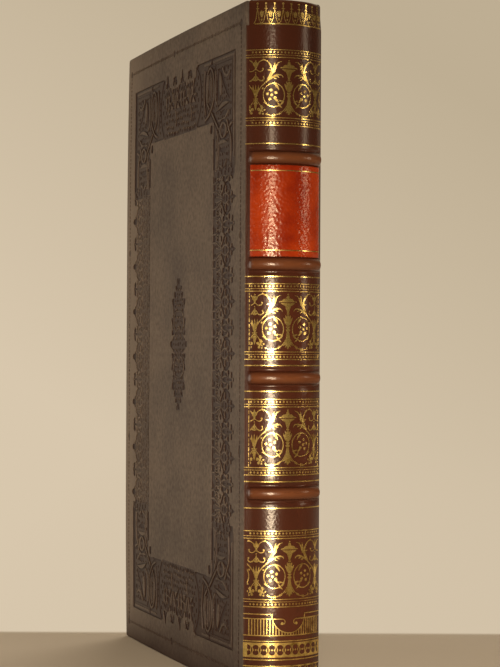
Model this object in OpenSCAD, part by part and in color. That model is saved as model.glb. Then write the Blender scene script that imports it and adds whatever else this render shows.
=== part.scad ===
// Antique leather book in a full leather binding, standing upright on its tail edges.
// It has four raised bands, a gilt tooled spine, a red label and blind tooled covers.
// The spine looks towards -Y, the fore-edge towards +Y, and the head is at +Z.
// The rear cover is on -X and the front cover on +X. All sizes are in millimetres.

/* [Covers] */
// Height of the covers, from tail to head
cover_h = 250; // [200:1:400]
// Width of a cover, from the joint to the fore-edge
cover_w = 153; // [120:1:260]
// Thickness of the millboard in each cover
board_t = 2.6; // [1.5:0.1:5]
// Thickness of the covering leather
leather_t = 0.9; // [0.6:0.05:1.4]
// Thickness of the pared leather turned in on the inside of a cover
turnin_t = 0.5; // [0.3:0.05:0.9]
// Width of the turned-in leather that shows on the inside of a cover
turnin_w = 8; // [5:0.5:20]
// How far the fore-edge of a cover draws in towards the pages
cup_depth = 1.2; // [0:0.1:2.5]
// Distance from the joint at which a cover starts to draw in
cup_start = 65; // [40:1:110]
// Height of the slanted back corner beside the joint, at head and tail
back_corner_h = 9; // [3:0.5:14]
// Width of the slanted back corner
back_corner_w = 1.8; // [0.8:0.1:3]
// Radius of a cover's fore-edge corners
corner_r = 1.6; // [0.8:0.1:4]

/* [Pages] */
// Thickness of the page block without its flyleaves
text_t = 20; // [14:0.2:60]
// Overhang of the covers over the pages at head, tail and fore-edge
square_w = 3.6; // [2:0.1:6]
// Thickness of a flyleaf
flyleaf_t = 0.25; // [0.15:0.05:0.6]
// Hollow of the fore-edge, at its deepest
fore_hollow = 4.5; // [1:0.1:5]
// Clearance between the pages and each cover
page_gap = 0.3; // [0.3:0.05:0.8]

/* [Spine] */
// How far the rounded spine stands out from the joints
spine_rise = 5.7; // [4:0.1:9]
// How far the spine's sides stand back from the outer faces of the covers
joint_step = 0.9; // [0.6:0.1:2]
// Gap between a cover and the spine along the joint
joint_gap = 0.3; // [0.3:0.05:0.8]
// Thickness of the cloth glued to the backs of the pages
cloth_t = 0.3; // [0.2:0.05:0.6]
// Thickness of the card hollow between the cloth and the leather
hollow_t = 0.8; // [0.5:0.05:1.5]
// How far a headcap reaches in over the endband
cap_reach = 3.6; // [2.5:0.1:5]
// Diameter of the endband cores
endband_d = 2.1; // [1.4:0.1:2.6]

/* [Raised bands] */
// Height of a raised band above the spine
band_rise = 1.9; // [1:0.1:2.6]
// Width of a raised band at its foot
band_w = 4.6; // [3.8:0.1:7]
// Depth of the groove nipped in beside each band
nip_depth = 0.25; // [0.1:0.05:0.4]
// Width of the groove nipped in beside each band
nip_w = 1.3; // [0.8:0.1:2]
// Height of the lowest compartment, from the tail to the middle of the lowest band
tail_comp = 72.2; // [68:0.1:90]
// Height of the compartment above the lowest band
lower_comp = 41.5; // [38:0.1:50]
// Height of the middle compartment
middle_comp = 41; // [38:0.1:50]
// Height of the compartment that holds the label
label_comp = 38.3; // [24:0.1:50]
// Height of the highest compartment, from the middle of the highest band to the head
head_comp = 57; // [52:0.1:80]

/* [Label and gilding] */
// Thickness of the label's red leather
label_t = 0.3; // [0.15:0.05:0.5]
// Space between the label and the bands above and below it
label_gap = 0.4; // [0.1:0.1:2]
// Thickness at which the gilding is drawn
gilt_t = 0.12; // [0.08:0.02:0.25]
// Width of a gilt fillet
fillet_w = 0.45; // [0.3:0.05:0.8]
// Height of the fillets and dots above and below a gilt panel
panel_border_h = 3.2; // [2.4:0.1:4]
// Distance between neighbouring candelabra along the spine's curve
candelabra_pitch = 12.2; // [10:0.1:14]
// Distance of a gilt line from the middle of the band beside it
band_line = 4.4; // [3.8:0.1:6]
// Plain leather between that line and a gilt panel's border
panel_gap = 2.5; // [1:0.1:4]
// The same between the highest band and the highest panel
head_panel_gap = 6.4; // [2:0.1:8]
// Plain leather between the fluted roll and the lowest panel
tail_panel_gap = 2.3; // [1:0.1:4]
// Height of the crown roll at the head, and of the one at the tail
crown_h = 8; // [6:0.1:9]
// Pitch of the crown roll's arches
crown_pitch = 3.1; // [2.5:0.1:5]
// Foot of the fluted roll above the tail
flute_z = 21; // [20:0.1:24]
// Height of the fluted roll
flute_h = 8; // [6:0.1:10]
// Foot of the solid gilt band of linked rings above the tail
ring_band_z = 13.3; // [12.5:0.1:15]
// Height of the solid gilt band of linked rings
ring_band_h = 5.6; // [3:0.1:6]

/* [Blind tooling] */
// Depth of the blind tooling
tool_depth = 0.3; // [0.1:0.05:0.5]
// Distance of the ornamented frame from the joint and the fore-edge
frame_side = 12; // [9:0.5:20]
// Distance of the ornamented frame from head and tail
frame_end = 15.5; // [12:0.5:24]
// Width of the ornamented frame
frame_w = 24; // [18:0.5:28]
// Length of a corner piece's arms
corner_arm = 43; // [36:0.5:46]
// Pitch of the lace points between the corner pieces
lace_pitch = 19.2; // [16:0.2:26]
// Distance of the dotted line from the joint and the fore-edge
line_side = 5.8; // [4:0.1:7.5]
// Distance of the dotted line from head and tail
line_end = 8; // [4:0.1:10]
// Width of the dotted line
line_w = 1.3; // [0.6:0.1:2]
// Height of the ornament in the middle of a cover
centre_h = 52; // [30:1:70]
// Width of the ornament in the middle of a cover
centre_w = 21; // [12:1:30]

/* [Hidden] */
$fn = 48;

// Space left for glue between pieces that are pasted together
glue = 0.05;
cover_t = leather_t + board_t + turnin_t + 2 * glue;
// Half the thickness of pages and flyleaves together
block_half = text_t / 2 + flyleaf_t + glue;
book_half = block_half + page_gap + cover_t;
// Rounded spine: an arc through the apex and the two joints
spine_half = book_half - joint_step;
spine_r = (spine_half * spine_half + spine_rise * spine_rise) / (2 * spine_rise);
spine_cy = spine_r - spine_rise - joint_gap;
// The raised bands end a little outside the spine's sides
band_half = spine_half + joint_step / 2;
leather_in_r = spine_r - leather_t;
hollow_out_r = leather_in_r - glue;
cloth_out_r = hollow_out_r - hollow_t - glue;
block_r = cloth_out_r - cloth_t - glue;
// Angle from the apex of the spine to its joints, and a little more for pieces cut off there
spine_angle = asin(spine_half / spine_r);
over_angle = spine_angle + 12;
// The gilding and label stop short of the joints
gilt_angle = spine_angle - 2.2;
// The compartments share out the height of the covers
layout = cover_h / (tail_comp + lower_comp + middle_comp + label_comp + head_comp);
// Middles of the raised bands, lowest first
band_z = layout * [tail_comp, tail_comp + lower_comp, tail_comp + lower_comp + middle_comp,
    tail_comp + lower_comp + middle_comp + label_comp];
// An ornamented panel fills the middle compartment, and the others are as tall
panel_h = middle_comp * layout - 2 * (band_line + panel_gap + panel_border_h);
// Middles of the gilt panels, lowest first
panel_z = [flute_z + flute_h + tail_panel_gap + panel_border_h + panel_h / 2, (band_z[0] + band_z[1]) / 2,
    (band_z[1] + band_z[2]) / 2, band_z[3] + band_line + head_panel_gap + panel_border_h + panel_h / 2];
block_h = cover_h - 2 * square_w;
block_y1 = cover_w - square_w;
crest_y = -joint_gap - spine_rise - band_rise;
// The origin lies below the middle of the book, on the surface it stands on
mid_y = (cover_w + crest_y) / 2;
cup_steps = 8;
gilt_r = spine_r + glue;
cap_r = 1.3;
far = 40;
// Bare leather left between a gilt line and the ornament that stands on it
gilt_space = 0.2;

// Drawing-in of a cover at distance y from the joint
function cup(y) = y <= cup_start ? 0
    : cup_depth * pow((y - cup_start) / (cover_w - cup_start), 2);

// Distances from the joint at which a cover's section has a point
function stations(y0, y1) = concat([y0],
    [for (k = [0:cup_steps - 1])
        let (y = cup_start + k * (cover_w - cup_start) / cup_steps)
        if (y > y0 + 0.5 && y < y1 - 0.5) y],
    [y1]);

// Place across the spine, seen from behind it, of a point at distance u along the curve
function across(u) = spine_r * sin(u / spine_r * 180 / PI);

module placed() {
    translate([0, -mid_y, 0]) children();
}

// Layer of the rear cover from depth d0 to depth d1 under its outer face
module layer(d0, d1, y0, y1) {
    near = stations(y0, y1);
    last = len(near) - 1;
    linear_extrude(cover_h)
        polygon(concat([for (y = near) [-book_half + cup(y) + d0, y]],
            [for (k = [0:last]) [-book_half + cup(near[last - k]) + d1, near[last - k]]]));
}

// Outline drawn in the plane of the covers, made deep enough to cut right through one
module through_cover() {
    translate([-book_half - 2, 0, 0]) rotate([90, 0, 90]) linear_extrude(cover_t + cup_depth + 4) children();
}

// A cover's outline: slanted back corners at the joint, rounded corners at the fore-edge
module cover_outline(inset) {
    r = max(corner_r - inset, 0.4);
    y1 = cover_w - inset;
    z0 = inset;
    z1 = cover_h - inset;
    polygon(concat(
        [[inset, z0 + back_corner_h], [inset + back_corner_w, z0]],
        [for (a = [-90:30:0]) [y1 - r + r * cos(a), z0 + r + r * sin(a)]],
        [for (a = [0:30:90]) [y1 - r + r * cos(a), z1 - r + r * sin(a)]],
        [[inset + back_corner_w, z1], [inset, z1 - back_corner_h]]));
}

// The place on the inside of a cover that the pastedown fills
module inner_window(inset) {
    translate([inset, inset]) square([cover_w - 2 * inset, cover_h - 2 * inset]);
}

// Pointed oval, as long and wide as given, with its points along X
module pointed_oval(long, wide) {
    side = [for (t = [-1:2 / 3:0.4]) [t * long / 2, (1 - t * t) * wide / 1.8]];
    polygon(concat(side, [for (p = side) -p]));
}

module oval_ring(long, wide, line) {
    difference() {
        pointed_oval(long, wide);
        pointed_oval(long - 2.6 * line, wide - 2 * line);
    }
}

// A run of lace between two corner pieces, centred, with its teeth towards the cover's edge.
// A long tooth with a raised medallion stands between short ones, count times over.
module lace_run(count) {
    low = frame_w * 0.34;
    half = count * lace_pitch / 2;
    teeth = [for (k = [0:count - 1]) let (x = (k + 0.5) * lace_pitch - half) each [
        [x - lace_pitch / 2, frame_w * 0.12], [x - lace_pitch * 0.34, low],
        [x, 0], [x + lace_pitch * 0.34, low]]];
    difference() {
        polygon(concat(teeth, [[half, frame_w * 0.12], [half, frame_w], [-half, frame_w]]));
        for (k = [0:count - 1]) translate([(k + 0.5) * lace_pitch - half, frame_w * 0.45])
            rotate(90) pointed_oval(frame_w * 0.5, lace_pitch * 0.36);
    }
}

// A strapwork corner piece: a sunk field with raised straps, knots and leaves
module corner_piece() {
    step = 2.5;
    w = frame_w;
    arm = corner_arm;
    difference() {
        polygon([[0, 0], [arm, 0], [arm - step, 4], [arm + step / 2, w / 2], [arm - step, w - 4],
            [arm, w], [w + step, w], [w + step, w + step], [w, w + step], [w, arm],
            [w - 4, arm - step], [w / 2, arm + step / 2], [4, arm - step], [0, arm]]);
        translate([arm - 11, w / 2]) rotate(90) pointed_oval(w - 5, 8);
        translate([w / 2, arm - 11]) pointed_oval(w - 5, 8);
        translate([w * 0.45, w * 0.45]) rotate(45) pointed_oval(w * 0.9, 7);
    }
}

// Everything that is tooled on one cover, drawn flat
module tooling() {
    z_mid = cover_h / 2;
    y_mid = cover_w / 2;
    long_count = floor((cover_h - 2 * frame_end - 2 * corner_arm) / lace_pitch + 0.3);
    short_count = max(2, floor((cover_w - 2 * frame_side - 2 * corner_arm) / lace_pitch + 0.8));
    difference() {
        translate([line_side, line_end]) square([cover_w - 2 * line_side, cover_h - 2 * line_end]);
        translate([line_side + line_w, line_end + line_w])
            square([cover_w - 2 * (line_side + line_w), cover_h - 2 * (line_end + line_w)]);
    }
    for (side = [0, 1], end = [0, 1])
        translate([side * cover_w, end * cover_h]) mirror([side, 0]) mirror([0, end])
            translate([frame_side, frame_end]) corner_piece();
    translate([y_mid, frame_end]) lace_run(short_count);
    translate([y_mid, cover_h - frame_end]) mirror([0, 1]) lace_run(short_count);
    translate([frame_side, z_mid]) rotate(-90) lace_run(long_count);
    translate([cover_w - frame_side, z_mid]) rotate(90) lace_run(long_count);
    translate([y_mid, z_mid]) rotate(90) centre_ornament();
}

// Upright arabesque in the middle of a cover, drawn lying down
module centre_ornament() {
    difference() {
        union() {
            pointed_oval(centre_h, centre_w * 0.82);
            for (at = [-0.22, 0, 0.22]) translate([centre_h * at, 0])
                pointed_oval(centre_h * 0.2, centre_w * (1 - abs(at) * 1.3));
        }
        oval_ring(centre_h * 0.66, centre_w * 0.46, 0.9);
    }
}

module cover_leather() {
    color("#5c4a3c") difference() {
        intersection() {
            layer(0, cover_t, 0, cover_w);
            through_cover() cover_outline(0);
        }
        intersection() {
            layer(leather_t, cover_t - turnin_t, leather_t, cover_w - leather_t);
            through_cover() cover_outline(leather_t);
        }
        intersection() {
            layer(leather_t + board_t / 2, cover_t + 1, turnin_w, cover_w - turnin_w);
            through_cover() inner_window(turnin_w);
        }
        intersection() {
            layer(-1, tool_depth, 0, cover_w);
            through_cover() tooling();
        }
    }
}

module cover_board() {
    color("#9c8b72") intersection() {
        layer(leather_t + glue, leather_t + glue + board_t, leather_t + glue, cover_w - leather_t - glue);
        through_cover() cover_outline(leather_t + glue);
    }
}

module cover_pastedown() {
    color("#e6dcc4") intersection() {
        layer(leather_t + board_t + 2 * glue, cover_t, turnin_w + glue, cover_w - turnin_w - glue);
        through_cover() inner_window(turnin_w + glue);
    }
}

// Part of a tube round the spine's axis, reaching half_angle to each side of the apex
module spine_shell(r0, r1, z0, z1, half_angle) {
    translate([0, spine_cy, z0]) rotate([0, 0, 270 - half_angle]) rotate_extrude(angle = 2 * half_angle)
        translate([r0, 0]) square([r1 - r0, z1 - z0]);
}

// Keeps what lies behind the joints and within half of the middle, so that the covers can open
module behind_joints(half) {
    intersection() {
        children();
        translate([-half, crest_y - 1, 0]) cube([2 * half, -joint_gap - crest_y + 1, cover_h]);
    }
}

// Section of a band in steps of an angle, from its lower foot over the top to its upper foot
function band_arc(r, z, half, rise, step) = [for (a = [0:step:180]) [r + rise * sin(a), z - half * cos(a)]];

// Outer face of the leather, from tail to head, with the bands and the grooves beside them
function leather_face() = [for (z = band_z) each concat(
    [[spine_r, z - band_w / 2 - nip_w], [spine_r - nip_depth, z - band_w / 2 - nip_w * 0.3]],
    band_arc(spine_r, z, band_w / 2, band_rise, 36),
    [[spine_r - nip_depth, z + band_w / 2 + nip_w * 0.3], [spine_r, z + band_w / 2 + nip_w]])];

// Inner face of the leather, from tail to head, with room for the band cores
function leather_lining() = [for (z = band_z) each
    band_arc(leather_in_r, z, band_w / 2 - leather_t + glue, band_rise + glue, 60)];

function flipped(list) = [for (k = [len(list) - 1:-1:0]) list[k]];

// Headcap section: out of the spine, over the endband and back
function cap_out(z, up) = [[spine_r, z - up * cap_r], [spine_r - 0.35 * cap_r, z - up * 0.35 * cap_r],
    [spine_r - cap_r, z], [spine_r - cap_reach, z - up * 0.2]];
function cap_in(z, up) = [[spine_r - cap_reach, z - up * (0.2 + leather_t)],
    [leather_in_r - 0.6, z - up * (leather_t + 0.1)], [leather_in_r, z - up * (leather_t + 0.7)]];

module spine_leather() {
    color("#4a2a1a") placed() behind_joints(band_half)
        translate([0, spine_cy, 0]) rotate([0, 0, 270 - over_angle]) rotate_extrude(angle = 2 * over_angle)
            polygon(concat(flipped(cap_out(0, -1)), leather_face(), cap_out(cover_h, 1),
                cap_in(cover_h, 1), flipped(leather_lining()), flipped(cap_in(0, -1))));
}

module text_block() {
    half = text_t / 2;
    fore_r = (half * half + fore_hollow * fore_hollow) / (2 * fore_hollow);
    near = stations(-joint_gap, block_y1);
    last = len(near) - 1;
    color("#e2d6b8") placed() difference() {
        translate([0, 0, square_w]) union() {
            linear_extrude(block_h)
                polygon(concat([for (y = near) [-half + cup(y), y]],
                    [for (k = [0:last]) [half - cup(near[last - k]), near[last - k]]]));
            intersection() {
                translate([0, spine_cy, 0]) cylinder(r = block_r, h = block_h);
                translate([-book_half, crest_y, 0]) cube([2 * book_half, -joint_gap - crest_y, block_h]);
            }
        }
        translate([0, block_y1 - fore_hollow + fore_r, 0]) cylinder(r = fore_r, h = cover_h);
    }
}

// Flyleaf of the rear side, drawn in at its fore-edge like the pages
module flyleaf() {
    inner = -text_t / 2 - glue;
    near = stations(0.5, block_y1);
    last = len(near) - 1;
    color("#e9e0ca") translate([0, 0, square_w]) linear_extrude(block_h)
        polygon(concat([for (y = near) [inner - flyleaf_t + cup(y), y]],
            [for (k = [0:last]) [inner + cup(near[last - k]), near[last - k]]]));
}

module spine_cloth() {
    inset = 6;
    color("#d8cfb8") placed() behind_joints(spine_half)
        spine_shell(block_r + glue, block_r + glue + cloth_t, square_w + inset, cover_h - square_w - inset,
            over_angle);
}

module spine_hollow() {
    color("#b9a27c") placed() behind_joints(spine_half)
        spine_shell(cloth_out_r + glue, hollow_out_r, square_w, cover_h - square_w, over_angle);
}

// Endband sewn round a cord on the end of the pages, at height z
module endband(z) {
    half_angle = spine_angle - 12;
    color("#b03a2a") placed() translate([0, spine_cy, z]) rotate([0, 0, 270 - half_angle])
        rotate_extrude(angle = 2 * half_angle) translate([block_r - endband_d / 2, 0])
            circle(d = endband_d, $fn = 16);
}

module band_core(z) {
    half = band_w / 2 - leather_t;
    color("#8a6a48") placed() behind_joints(band_half - leather_t)
        translate([0, spine_cy, 0]) rotate([0, 0, 270 - over_angle]) rotate_extrude(angle = 2 * over_angle)
            polygon(band_arc(leather_in_r, z, half, band_rise, 60));
}

module title_label() {
    color("#8e1f14") placed()
        spine_shell(gilt_r, gilt_r + label_t, band_z[2] + band_w / 2 + label_gap,
            band_z[3] - band_w / 2 - label_gap, gilt_angle);
}

module fillet(z, r) {
    spine_shell(r, r + gilt_t, z - fillet_w / 2, z + fillet_w / 2, gilt_angle);
}

// Straight gilt lines: one beside each band, one at each edge of the label, two at each end of a panel
module gilt_fillets() {
    from_label = 2.6;
    label_r = gilt_r + label_t + glue;
    color("#c79a4b") placed() {
        for (z = panel_z, side = [-1, 1]) {
            fillet(z + side * (panel_h / 2 + fillet_w), gilt_r);
            fillet(z + side * (panel_h / 2 + panel_border_h), gilt_r);
        }
        for (z = [band_z[0], band_z[1], band_z[2]]) fillet(z - band_line, gilt_r);
        fillet(band_z[3] + band_line, gilt_r);
        fillet(band_z[2] + band_w / 2 + from_label, label_r);
        fillet(band_z[3] - band_w / 2 - from_label, label_r);
    }
}

// Keeps the thin skin of an ornament that lies on the spine
module on_spine() {
    placed() intersection() {
        translate([0, spine_cy, 0]) difference() {
            cylinder(r = gilt_r + gilt_t, h = cover_h);
            translate([0, 0, -1]) cylinder(r = gilt_r, h = cover_h + 2);
        }
        rotate([90, 0, 0]) linear_extrude(far) children();
    }
}

// Outline made of its right-hand side, from top to bottom, and the same mirrored
module mirrored_outline(side) {
    last = len(side) - 1;
    polygon(concat(side, [for (k = [0:last]) [-side[last - k][0], side[last - k][1]]]));
}

// Candelabrum: finial, lidded cup, baluster, and the plume at the foot
module candelabrum() {
    h = panel_h;
    mirrored_outline([[0.3, 0.46 * h], [2.9, 0.34 * h], [0.6, 0.22 * h], [1.4, 0.05 * h], [0.45, -0.08 * h],
        [0.5, -0.3 * h], [1.7, -0.44 * h]]);
}

// The slimmer one beside a joint, squeezed sideways because the spine turns away there
module side_candelabrum() {
    h = panel_h;
    turn = cos(candelabra_pitch / spine_r * 180 / PI);
    mirrored_outline([[0.2, 0.46 * h], [1.3 * turn, 0.2 * h], [0.3, 0.05 * h], [1.2 * turn, -0.08 * h],
        [0.3, -0.2 * h], [1.4 * turn, -0.45 * h]]);
}

// Scroll ring with its flower and the frond that springs from it, right of a candelabrum
module scroll() {
    ring_u = candelabra_pitch / 2;
    ring_z = -panel_h * 0.13;
    ring_r = 3.6;
    difference() {
        translate([across(ring_u), ring_z]) circle(ring_r, $fn = 14);
        translate([across(ring_u), ring_z]) circle(ring_r - 0.6, $fn = 14);
    }
    translate([across(ring_u), ring_z]) pointed_oval(3.4, 2.2);
    translate([across(ring_u * 1.04), panel_h * 0.26]) rotate(63) pointed_oval(panel_h * 0.42, 1.9);
}

module panel_ornament(z) {
    translate([0, z]) {
        candelabrum();
        for (side = [0, 1]) mirror([side, 0]) {
            scroll();
            translate([across(candelabra_pitch), 0]) side_candelabrum();
        }
    }
}

module gilt_panel(z) {
    color("#c79a4b") on_spine() panel_ornament(z);
}

// Row of narrow arches on a base line, drawn upwards from z
module crown_row(z) {
    count = floor(across(spine_r * gilt_angle * PI / 180) * 2 / crown_pitch);
    reach = spine_r * gilt_angle * PI / 180;
    step = 2 * reach / count;
    for (k = [0:count - 1]) {
        u = -reach + (k + 0.5) * step;
        turn = cos(u / spine_r * 180 / PI);
        translate([across(u), z]) {
            polygon([[-0.8 * turn, 0], [-0.3 * turn, crown_h * 0.3], [-0.3 * turn, crown_h * 0.62],
                [0, crown_h], [0.3 * turn, crown_h * 0.62], [0.3 * turn, crown_h * 0.3], [0.8 * turn, 0]]);
        }
    }
}

module gilt_head_roll() {
    foot = cover_h - cap_r - 0.1 - crown_h;
    color("#c79a4b") {
        on_spine() crown_row(foot + fillet_w + gilt_space);
        placed() fillet(foot + fillet_w / 2, gilt_r);
    }
}

// Fluted roll with its round opening, the band of linked rings, and the crown row at the tail
module gilt_tail_rolls() {
    flute_step = 1.5;
    opening_r = 6.2;
    reach = across(spine_r * gilt_angle * PI / 180);
    count = floor((reach - opening_r - 0.6) / flute_step);
    color("#c79a4b") {
        placed() {
            fillet(flute_z, gilt_r);
            spine_shell(gilt_r, gilt_r + gilt_t, ring_band_z, ring_band_z + ring_band_h, gilt_angle);
        }
        on_spine() {
            for (side = [0, 1], k = [0:count]) mirror([side, 0])
                translate([opening_r + 0.5 + k * flute_step, flute_z + 0.4]) square([0.6, flute_h * 0.7]);
            difference() {
                translate([-reach, flute_z + flute_h - fillet_w]) square([2 * reach, fillet_w]);
                translate([0, flute_z + flute_h]) circle(opening_r + 0.3);
            }
            difference() {
                translate([0, flute_z + flute_h]) circle(opening_r + 0.3);
                translate([0, flute_z + flute_h]) circle(opening_r - 0.2);
                translate([-far / 2, flute_z + flute_h]) square([far, far]);
            }
            translate([0, 2 * cap_r + crown_h]) mirror([0, 1]) crown_row(cap_r + 0.1);
        }
    }
}

module rear(part) {
    placed() {
        if (part == "board") cover_board();
        if (part == "leather") cover_leather();
        if (part == "pastedown") cover_pastedown();
        if (part == "flyleaf") flyleaf();
    }
}

module front(part) {
    mirror([1, 0, 0]) rear(part);
}

text_block();
front("flyleaf");  // front_flyleaf
rear("flyleaf");  // rear_flyleaf
spine_cloth();
spine_hollow();
endband(cover_h - square_w + endband_d / 2 + glue);  // head_endband
endband(square_w - endband_d / 2 - glue);  // tail_endband
band_core(band_z[3]);  // band_core_1
band_core(band_z[2]);  // band_core_2
band_core(band_z[1]);  // band_core_3
band_core(band_z[0]);  // band_core_4
spine_leather();
title_label();
gilt_fillets();
gilt_head_roll();
gilt_panel(panel_z[3]);  // gilt_panel_1
gilt_panel(panel_z[2]);  // gilt_panel_2
gilt_panel(panel_z[1]);  // gilt_panel_3
gilt_panel(panel_z[0]);  // gilt_panel_4
gilt_tail_rolls();
front("board");  // front_board
front("leather");  // front_leather
front("pastedown");  // front_pastedown
rear("board");  // rear_board
rear("leather");  // rear_leather
rear("pastedown");  // rear_pastedown
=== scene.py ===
"""Looks of an antique leather book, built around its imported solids.

Drawings and sizes are in millimetres and become metres when a mesh is made. The spine looks towards -Y,
the fore-edge towards +Y, and the rear cover lies on -X.
"""
import logging
import math
import random
from abc import ABC, abstractmethod
from dataclasses import dataclass, field
from enum import Enum
from typing import Callable, Sequence

import bpy
import numpy as np
from mathutils import Matrix, Vector
from mathutils.geometry import delaunay_2d_cdt


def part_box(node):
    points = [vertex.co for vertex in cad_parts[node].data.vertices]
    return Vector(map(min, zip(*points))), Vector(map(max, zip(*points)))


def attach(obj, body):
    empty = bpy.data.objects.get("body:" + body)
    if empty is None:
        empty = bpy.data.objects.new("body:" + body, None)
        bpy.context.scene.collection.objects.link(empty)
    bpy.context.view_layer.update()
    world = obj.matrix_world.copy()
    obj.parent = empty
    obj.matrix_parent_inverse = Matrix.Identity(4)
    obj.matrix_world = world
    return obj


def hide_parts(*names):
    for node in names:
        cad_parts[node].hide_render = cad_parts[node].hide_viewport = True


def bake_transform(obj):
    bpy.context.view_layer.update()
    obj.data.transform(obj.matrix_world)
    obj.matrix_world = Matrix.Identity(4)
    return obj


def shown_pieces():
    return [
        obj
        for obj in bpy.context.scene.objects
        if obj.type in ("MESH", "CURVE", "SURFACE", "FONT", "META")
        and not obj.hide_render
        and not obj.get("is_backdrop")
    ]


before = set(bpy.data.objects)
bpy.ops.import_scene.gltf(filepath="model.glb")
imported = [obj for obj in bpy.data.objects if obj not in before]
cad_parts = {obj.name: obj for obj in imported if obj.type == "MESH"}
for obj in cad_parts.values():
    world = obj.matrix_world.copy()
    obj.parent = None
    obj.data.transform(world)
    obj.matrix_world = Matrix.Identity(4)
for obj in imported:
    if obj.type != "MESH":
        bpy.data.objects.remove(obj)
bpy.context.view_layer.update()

MM = 0.001
LOG = logging.getLogger("leather_book")

Point = tuple[float, float]
Outline = list[Point]
Place = Callable[[np.ndarray, np.ndarray, np.ndarray], np.ndarray]


class Side(Enum):
    """The two covers, each with the sign of X on which it lies."""

    REAR = -1
    FRONT = 1

    @property
    def body(self) -> str:
        """Name of the body that the cover belongs to."""
        return f"{self.name.lower()}_cover"


class Depth(Enum):
    """Levels of the blind tooling, each with its depth in millimetres."""

    FACE = 0.0
    GROUND = 0.24
    LINE = 0.4


def box_mm(node: str) -> tuple[Vector, Vector]:
    """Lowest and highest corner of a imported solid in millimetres."""
    low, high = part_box(node)
    return low / MM, high / MM


def middle_z(node: str) -> float:
    """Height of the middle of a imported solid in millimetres."""
    low, high = box_mm(node)
    return (low.z + high.z) / 2


def smoothstep(value: np.ndarray | float) -> np.ndarray | float:
    """Rises smoothly from 0 to 1 as the value goes from 0 to 1."""
    t = np.clip(value, 0.0, 1.0)
    return t * t * (3 - 2 * t)


# Flat shapes


def disc(x: float, y: float, radius: float, sides: int = 10) -> list[Outline]:
    """Round dot.

    Args:
        x: Place of its middle.
        y: Place of its middle.
        radius: Its radius.
        sides: Number of points on its edge.

    Returns:
        One outline.
    """
    return oval(x, y, radius, radius, sides)


def oval(x: float, y: float, half_w: float, half_h: float, sides: int = 12) -> list[Outline]:
    """Ellipse with the given half width and half height.

    Args:
        x: Place of its middle.
        y: Place of its middle.
        half_w: Half its width.
        half_h: Half its height.
        sides: Number of points on its edge.

    Returns:
        One outline.
    """
    turns = [2 * math.pi * (k + 0.5) / sides for k in range(sides)]
    return [[(x + half_w * math.cos(a), y + half_h * math.sin(a)) for a in turns]]


def block(x0: float, y0: float, x1: float, y1: float) -> list[Outline]:
    """Rectangle between two corners."""
    return [[(x0, y0), (x1, y0), (x1, y1), (x0, y1)]]


def mirrored(profile: Sequence[Point]) -> list[Outline]:
    """Outline that is the same on both sides of its upright middle line.

    Args:
        profile: Its right-hand side, from one end to the other.

    Returns:
        One outline.
    """
    return [list(profile) + [(-x, y) for x, y in reversed(profile) if x > 1e-6]]


def curve(points: Sequence[Point], steps: int = 4) -> list[Point]:
    """Smooth line through the given points.

    Args:
        points: Points that the line passes.
        steps: Number of pieces between two of them.

    Returns:
        Points along the line.
    """
    ends = [points[0], *points, points[-1]]
    line = []
    for k in range(len(points) - 1):
        a, b, c, d = (np.array(p) for p in ends[k:k + 4])
        for t in np.arange(steps) / steps:
            near = 2 * b + (c - a) * t + (2 * a - 5 * b + 4 * c - d) * t * t
            line.append(tuple((near + (3 * b - a - 3 * c + d) * t ** 3) / 2))
    return line + [tuple(points[-1])]


def arc(x: float, y: float, radius: float, start: float, end: float, steps: int = 12) -> list[Point]:
    """Points along an arc.

    Args:
        x: Place of its middle.
        y: Place of its middle.
        radius: Its radius.
        start: Angle of its first point in degrees.
        end: Angle of its last point in degrees.
        steps: Number of pieces.

    Returns:
        Points from start to end.
    """
    turns = [math.radians(start + (end - start) * k / steps) for k in range(steps + 1)]
    return [(x + radius * math.cos(a), y + radius * math.sin(a)) for a in turns]


def volute(x: float, y: float, outer: float, inner: float, start: float, end: float) -> list[Point]:
    """Points along a spiral that runs in from its outer to its inner radius."""
    steps = max(6, int(abs(end - start) / 30))
    line = []
    for k in range(steps + 1):
        a = math.radians(start + (end - start) * k / steps)
        r = outer + (inner - outer) * k / steps
        line.append((x + r * math.cos(a), y + r * math.sin(a)))
    return line


def stroke(path: Sequence[Point], *widths: float) -> list[Outline]:
    """Ribbon along a line, as one four-sided outline for each piece of the line.

    Args:
        path: Points of the line.
        widths: Width at the start, and further ones at even steps up to the end.

    Returns:
        The outlines.
    """
    line = np.array(path)
    along = np.gradient(line, axis=0)
    along /= np.linalg.norm(along, axis=1)[:, None] + 1e-9
    across = np.stack([-along[:, 1], along[:, 0]], axis=1)
    marks = np.linspace(0, 1, max(2, len(widths)))
    listed = widths if len(widths) > 1 else widths * 2
    half = np.interp(np.linspace(0, 1, len(line)), marks, listed)[:, None] / 2
    left = line + across * half
    right = line - across * half
    return [[tuple(p) for p in (left[k], right[k], right[k + 1], left[k + 1])] for k in range(len(line) - 1)]


def leaf(root: Point, tip: Point, half_w: float, bend: float = 0.0) -> list[Outline]:
    """Pointed leaf.

    Args:
        root: Where it starts.
        tip: Where it ends.
        half_w: Half its width in the middle.
        bend: How far its middle swings out to the left of the line from root to tip.

    Returns:
        One outline.
    """
    a, b = np.array(root), np.array(tip)
    left = np.array([a[1] - b[1], b[0] - a[0]]) / (np.linalg.norm(b - a) + 1e-9)
    shares = [0.0, 0.2, 0.45, 0.7, 1.0]
    swing = [bend * 4 * t * (1 - t) for t in shares]
    fat = [0.0, 0.7, 1.0, 0.72, 0.0]
    upper = [a + (b - a) * t + left * (s + f * half_w) for t, s, f in zip(shares, swing, fat)]
    lower = [a + (b - a) * t + left * (s - f * half_w) for t, s, f in zip(shares, swing, fat)][1:-1]
    return [[tuple(p) for p in upper + lower[::-1]]]


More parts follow.
